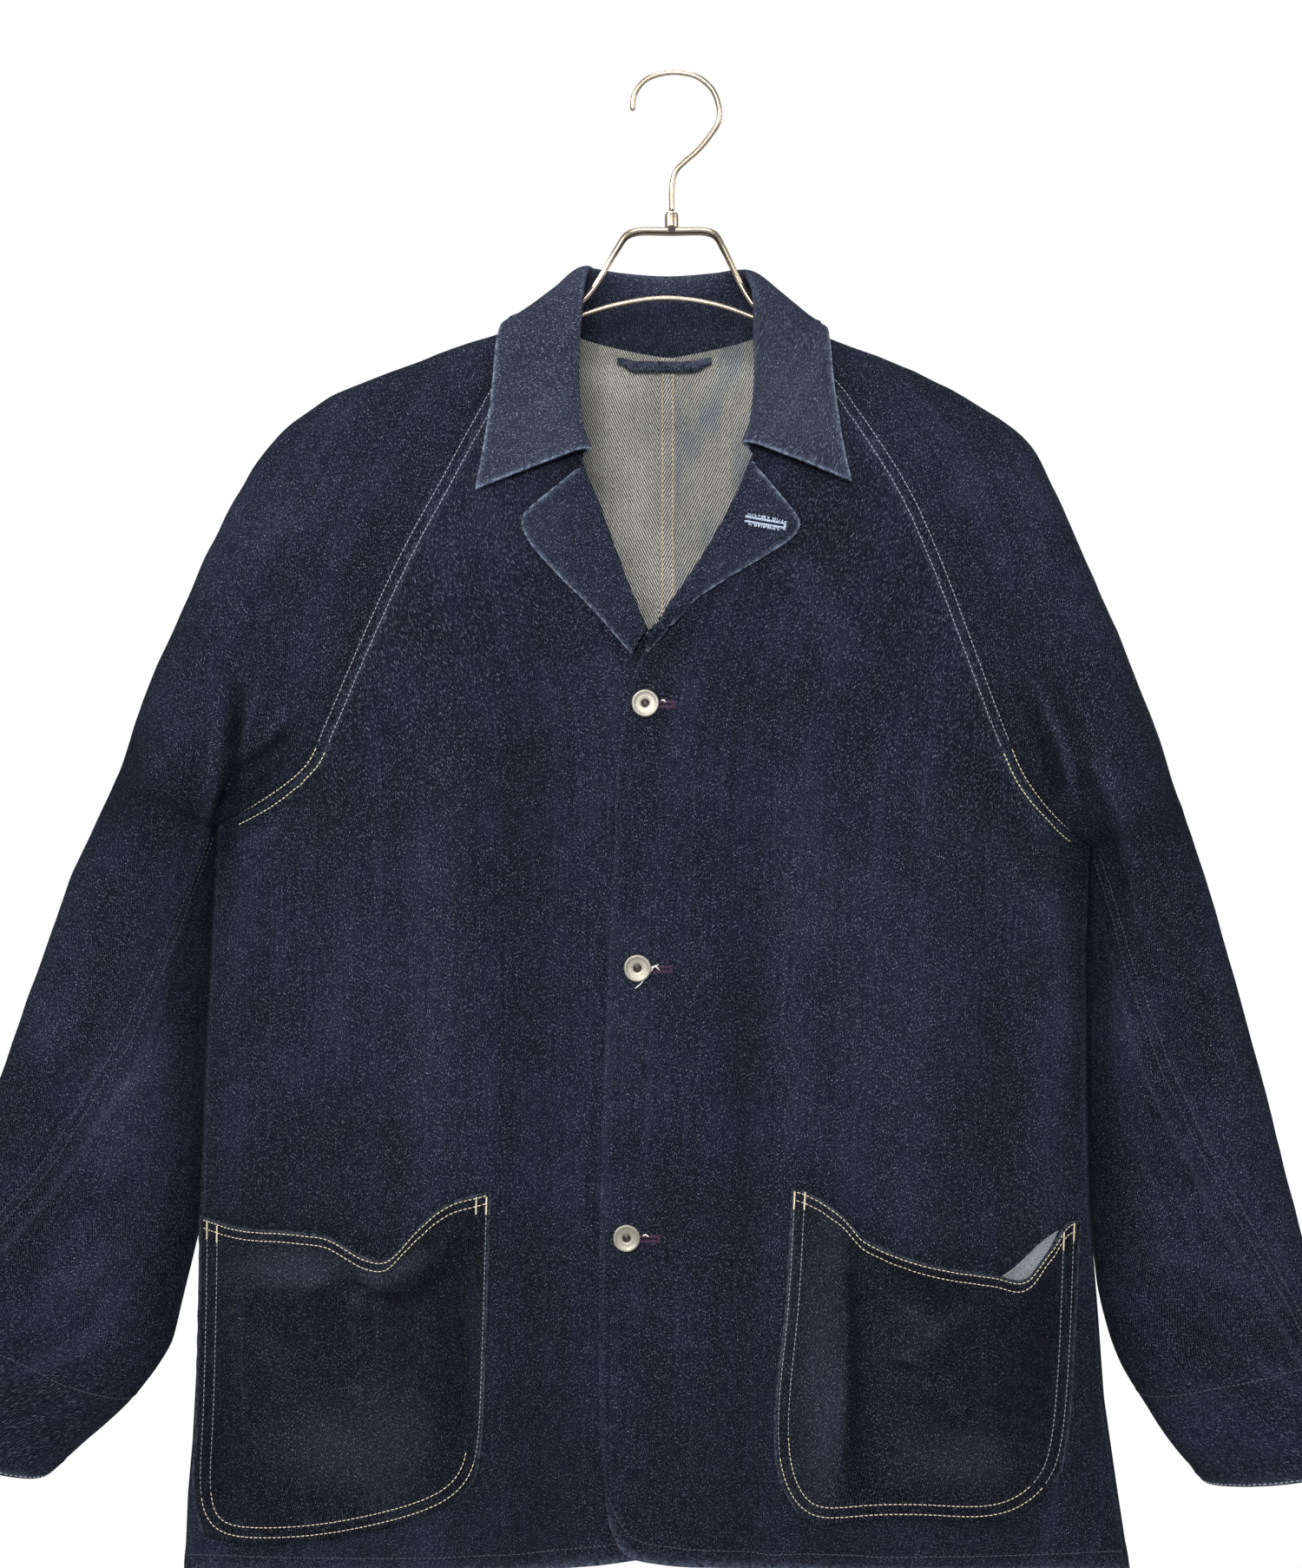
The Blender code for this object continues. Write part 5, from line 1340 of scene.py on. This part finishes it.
over_front = tree_of(outer_face("front_left")[0])
holes = []
for (x, z), end in zip(BUTTON_PLACES, BUTTONHOLE_ENDS):
    a, up_way = look(over_front, x - 3, z - 0.8)
    b = look(over_front, end, z - 0.8)[0]
    way = unit(b - a)
    side = np.cross(up_way, way)
    length = np.linalg.norm(b - a)
    for turn in (-1, 1):
        holes.extend(bar((a + b) / 2 + side * turn * 1.5, way, up_way, length, 2.2, int(length / 0.55)))
    holes.extend(bar(b, side, up_way, 4.6, 2.2, 9))
dress(stitches("buttonholes", holes, PLUM, 2.1, 2.05, 0.36), "denim")

lapel_grid, lapel_way = on_top["lapel_left"]
x, z = seen(lapel_grid)
worn_hole = []
place = np.unravel_index(np.argmin((x - 54) ** 2 + (z + 288.5) ** 2), x.shape)
here, up_way = lapel_grid[place], lapel_way[place]
way = unit(np.cross(up_way, [0.17, 0, 1.0]))
way = way * (1 if way[0] > 0 else -1)
side = np.cross(up_way, way)
fray = np.random.default_rng(5)
for turn in (-1, 1):
    for t in np.linspace(-0.5, 0.5, 84):
        root = here + way * 24.0 * t + side * turn * 0.7 + up_way * 0.3
        lean = side * turn + way * fray.normal(0, 0.35) + up_way * fray.uniform(0.0, 0.25)
        tip = root + unit(lean) * fray.uniform(2.4, 4.4) * (1 - 0.35 * abs(2 * t) ** 3)
        worn_hole.append((np.array([root, tip]), np.array([up_way, up_way])))
for t in np.linspace(-1, 1, 16):
    root = here + way * 12.0 + side * 2.6 * t + up_way * 0.3
    tip = root + way * fray.uniform(1.6, 2.8) + side * fray.normal(0, 0.5)
    worn_hole.append((np.array([root, tip]), np.array([up_way, up_way])))
WORN_THREAD = thread("thread_worn_blue", (.480, .540, .640), (.160, .200, .290))
dress(stitches("lapel_buttonhole", worn_hole, WORN_THREAD, 1.7, 1.65, 0.34), "collar_denim")

# %% [markdown]
# ## Buttons
#
# The metal buttons are turned rings: a rolled rim, a dished face and a hole, in which the head of
# the shank shows, coloured dark as painted shade in the hole. A profile is spun round the button's
# own axis, and every point of it is a formula.

# %% Turned pieces
RING_PROFILE = [(2.5, 0.0), (6.6, 0.0), (7.8, 0.45), (8.4, 1.2), (8.5, 1.9), (8.35, 2.45), (7.95, 2.85),
                (7.4, 2.95), (6.9, 2.8), (6.5, 2.55), (5.8, 2.4), (4.6, 2.3), (3.3, 2.25), (2.7, 2.05),
                (2.45, 1.6), (2.4, 0.6)]
SHANK_PROFILE = [(0.0, 0.0), (2.2, 0.0), (2.2, 0.3), (1.9, 0.45), (1.2, 0.55), (0.8, 0.9), (0.4, 1.1),
                 (0.0, 1.15)]


def spin(name, profile, place, axis, finish, sides=64, ring=False):
    """Surface of revolution: place + axis * height + radius * (cos a, sin a) in the plane across it."""
    profile = np.array(profile, float)
    if not ring:
        profile[[0, -1], 0] = 0.02
    axis = unit(np.asarray(axis, float))
    first = unit(np.cross(axis, [0, 0, 1.0]))
    second = np.cross(axis, first)
    a = np.arange(sides) * 2 * np.pi / sides
    circle = np.cos(a)[:, None] * first + np.sin(a)[:, None] * second
    grid = place + axis * profile[:, 1][:, None, None] + circle[None] * profile[:, 0][:, None, None]
    return ringed(name, grid, finish, 35, ring)


for number, (x, z) in enumerate(BUTTON_PLACES, start=1):
    here, normal = look(over_front, x, z)
    axis = unit(normal * [0.4, 1, 0.4])
    place = here + axis * 0.35
    ring = spin(f"button_{number}_ring", RING_PROFILE, place, axis, BUTTON_METAL, ring=True)
    dress(ring, "button_metal", f"button_{number}")
    shank = spin(f"button_{number}_shank", SHANK_PROFILE, place + axis * 0.05, axis, SHANK_SHADE_METAL)
    dress(shank, "button_metal")

# %% [markdown]
# ## Loose ends
#
# A white tail of thread is left at the middle button, and a short end at each other buttonhole. The
# wearer's left pocket gapes near its outer corner, where the pale wrong side of the cloth shows.

# %% Thread ends and the pocket's pale inside


def strand(x_keys, radius=0.33):
    """Line of thread on the over front, through places (x, z, lift) as they are seen."""
    line = []
    for x, z, lift in along(x_keys, 26):
        here, normal = look(over_front, x, z)
        line.append(here + normal * (lift + radius))
    return np.array(line)


def round_thread(name, lines, radius, finish, sides=6):
    """Round threads along free lines, joined in one mesh: rings in each line's own frame."""
    points, faces = [], []
    for line in lines:
        tangent = unit(np.gradient(line, axis=0))
        side = unit(np.cross(tangent, [0, 1.0, 0.01]))
        up_way = np.cross(side, tangent)
        a = np.arange(sides) * 2 * np.pi / sides
        taper = radius * np.sqrt(np.clip(1 - np.linspace(-1, 1, len(line)) ** 8, 0.05, 1))[:, None, None]
        ring = line[:, None] + taper * (np.cos(a)[None, :, None] * side[:, None]
                                        + np.sin(a)[None, :, None] * up_way[:, None])
        start = sum(len(p) for p in points)
        index = start + np.arange(len(line) * sides).reshape(len(line), sides)
        faces.append(ring_faces(index))
        faces.append(np.array([index[0, [0, 1, 2, 3]], index[0, [0, 3, 4, 5]],
                               index[-1, [3, 2, 1, 0]], index[-1, [5, 4, 3, 0]]]))
        points.append(ring.reshape(-1, 3))
    return finish_mesh(name, np.vstack(points), np.vstack(faces), [finish], sharp=70)


WHITE = thread("thread_white", (.780, .760, .720), (.500, .480, .450))
TAILS = [[(-14, -573.5, .2), (-19, -575.5, .8), (-22.5, -580, .5), (-25, -585, .3), (-29.5, -589, .2)],
         [(-13.5, -577, .2), (-16.5, -574.5, .9), (-19.5, -578, .6), (-21.5, -581, .3)],
         [(-12.5, -403.5, .1), (-11, -402.8, .6), (-9.6, -404.2, .1)],
         [(-24.5, -748.6, .1), (-22.5, -747.6, .6), (-20.5, -749.2, .1)]]
dress(round_thread("thread_tails", [strand(keys) for keys in TAILS], 0.42, WHITE), "denim")

low = along([(207, -775.5), (216, -778), (224, -772.5), (233, -760), (243, -745.5)], 40)
high = along([(207, -774.5), (215, -769), (224, -761), (233, -752.5), (243, -745)], 40)
t = np.linspace(0, 1, 14)
flat = low[:, None] + (high - low)[:, None] * t[None, :, None]
seated, way = seat("left", flat)
bow = np.sin(np.linspace(0, np.pi, 40))[:, None, None]
gape = seated + way * (0.35 + 5.5 * (1 - t[None, :, None]) ** 1.5 * bow)
way = outwards(gape, np.array([0, -1.0, 0]))
dress(sheet("jacket_pocket_left_inside", gape, way, 0.8, [POCKET_INSIDE, POCKET_INSIDE]), "denim")

# %% [markdown]
# ## The hanger
#
# A wire is a circle carried along a path. The neck of this hanger is a pressed metal strip with
# turned edges, and under the ferrule a small dark disc, painted shade in place of a recess.

# %% Wires and the pressed strip


def tube(name, line, radius, finish, sides=24):
    """Circle carried along a flat path in y = 0: its two axes are the path's normal and +Y."""
    tangent = unit(np.gradient(line, axis=0))
    side = np.cross(tangent, [0, 1.0, 0])
    a = np.arange(sides) * 2 * np.pi / sides
    radii = np.broadcast_to(radius, len(line))[:, None, None]
    grid = line[:, None] + radii * (np.cos(a)[None, :, None] * side[:, None]
                                    + np.sin(a)[None, :, None] * np.array([0, 1.0, 0]))
    return ringed(name, grid, finish, 50)


def rounded(line, radius, length):
    """Radii of a wire whose two ends are rounded: a quarter circle over the last length."""
    run = run_along(line)
    near = np.minimum(run, run[-1] - run) / length
    return radius * np.sqrt(np.clip(1 - np.clip(1 - near, 0, 1) ** 2, 0.02, 1))


def in_plane(keys, count):
    """A path in the hanger's plane."""
    flat = along(keys, count)
    return np.stack([flat[:, 0], 0 * flat[:, 0], flat[:, 1]], axis=1)


hook = in_plane(HOOK, 240)
dress(tube("hanger_hook_wire", hook, rounded(hook, 1.8, 1.8), HANGER_METAL), "hanger_metal", "hanger_hook")
rod = in_plane(ROD, 200)
dress(tube("hanger_lower_rod", rod, rounded(rod, 1.5, 1.5), HANGER_METAL), "hanger_metal", "hanger_rod")
FERRULE_PROFILE = [(0, 0), (4.1, 0), (4.5, 0.5), (4.5, 8.2), (4.3, 8.9), (3.7, 9.3), (3.7, 9.9),
                   (2.4, 10.2), (0, 10.2)]
dress(spin("hanger_ferrule_cap", FERRULE_PROFILE, np.array([-5.6, 0, -98.6]), [0.0001, 0, 1], HANGER_METAL),
      "hanger_metal", "hanger_ferrule")

STRIP_WALL, STRIP_DEPTH, ARM_DEPTH = 1.5, 7.0, 3.5
line = along(STRIP, 420)
tangent = unit(np.gradient(line, axis=0))
under = np.stack([tangent[:, 1], -tangent[:, 0]], axis=1)
half = np.interp(np.abs(line[:, 0] + 5.6), [34, 46], [STRIP_DEPTH, ARM_DEPTH])
s = np.linspace(-1, 1, 33)
lip = 1.3 * smoothstep(0.72, 1.0, np.abs(s)) ** 1.5
x = line[:, :1] + under[:, :1] * lip
z = line[:, 1:] + under[:, 1:] * lip
grid = np.stack([x, half[:, None] * s, z], axis=-1)
way = np.stack([under[:, 0], 0 * half, under[:, 1]], axis=1)[:, None] + 0 * grid
strip = sheet("hanger_pressed_strip", grid, way, STRIP_WALL, [HANGER_METAL, HANGER_METAL])
dress(strip, "hanger_metal", "hanger_strip")
# A thin dark disc on the strip: painted shade where a recess would be.
recess = spin("hanger_recess_mark", [(0, 0), (2.6, 0), (2.6, 0.3), (0, 0.3)],
              np.array([-5.6, -STRIP_DEPTH + 0.05, -100.4]), [0, -1.0, 0.2], RECESS_SHADE_METAL, 32)
dress(recess, "hanger_metal")

# %% [markdown]
# ## Stage
#
# The jacket hangs in front of a white room with large soft lamps, above a pale floor. The camera
# stands where the picture was taken from, level, so that its frame is 840 mm wide at the hanger.

# %% Floor, light and camera
FLOOR_Z, FLOOR_HALF = -1900, 2800
corners = [(x * FLOOR_HALF, y * FLOOR_HALF, FLOOR_Z) for x, y in ((-1, -1), (1, -1), (1, 1), (-1, 1))]
floor = finish_mesh("floor", corners, [(0, 1, 2, 3)], [])
pale = Nodes("floor_pale", 0.9)
pale.colour(pale.mix(pale.noise(pale.mapped((3, 3, 3), "object"), 3), (.80, .80, .79), (.86, .86, .85)))
floor.data.materials.append(pale.material)


def lamp(name, place, aim, size, energy):
    """Large soft area light at a place, turned to its aim."""
    data = bpy.data.lights.new(name, "AREA")
    data.shape, data.size, data.energy = "SQUARE", size, energy
    made = bpy.data.objects.new(name, data)
    made.location = place
    made.rotation_euler = (Vector(aim) - made.location).to_track_quat("-Z", "Y").to_euler()
    bpy.context.scene.collection.objects.link(made)
    return made


lamp("front_light", (-0.25, -2.3, 0.15), (0, 0, -0.45), 0.7, 52)
lamp("key_light", (-1.9, -1.2, 1.1), (0, 0, -0.45), 0.9, 52)
lamp("fill_light", (2.0, -1.0, 0.3), (0, 0, -0.5), 1.0, 20)
lamp("top_light", (0, -0.3, 1.6), (0, 0, -0.3), 0.9, 22)
lamp("back_light", (0.4, 2.4, 0.3), (0, 0, -0.5), 2.0, 45)

world = bpy.data.worlds.new("white_room")
world.use_nodes = True
links, sky = world.node_tree.links, world.node_tree.nodes
sky["Background"].inputs["Color"].default_value = (0.90, 0.95, 1.0, 1.0)
sky["Background"].inputs["Strength"].default_value = 0.42
white = sky.new("ShaderNodeBackground")
white.inputs["Color"].default_value = (1.0, 1.0, 1.0, 1.0)
path = sky.new("ShaderNodeLightPath")
either = sky.new("ShaderNodeMixShader")
links.new(path.outputs["Is Camera Ray"], either.inputs[0])
links.new(sky["Background"].outputs[0], either.inputs[1])
links.new(white.outputs[0], either.inputs[2])
links.new(either.outputs[0], sky["World Output"].inputs["Surface"])
scene = bpy.context.scene
scene.world = world
scene.view_settings.view_transform = "Standard"

FRAME_HEIGHT, CAMERA_DISTANCE, SENSOR = 1.0114, 1.6, 24.0
camera_data = bpy.data.cameras.new("camera")
camera_data.sensor_fit = "VERTICAL"
camera_data.sensor_height = SENSOR
camera_data.lens = SENSOR / (FRAME_HEIGHT / CAMERA_DISTANCE)
camera = bpy.data.objects.new("camera", camera_data)
camera.location = EYE * MM
camera.rotation_euler = (np.radians(90), 0, 0)
scene.collection.objects.link(camera)
scene.camera = camera
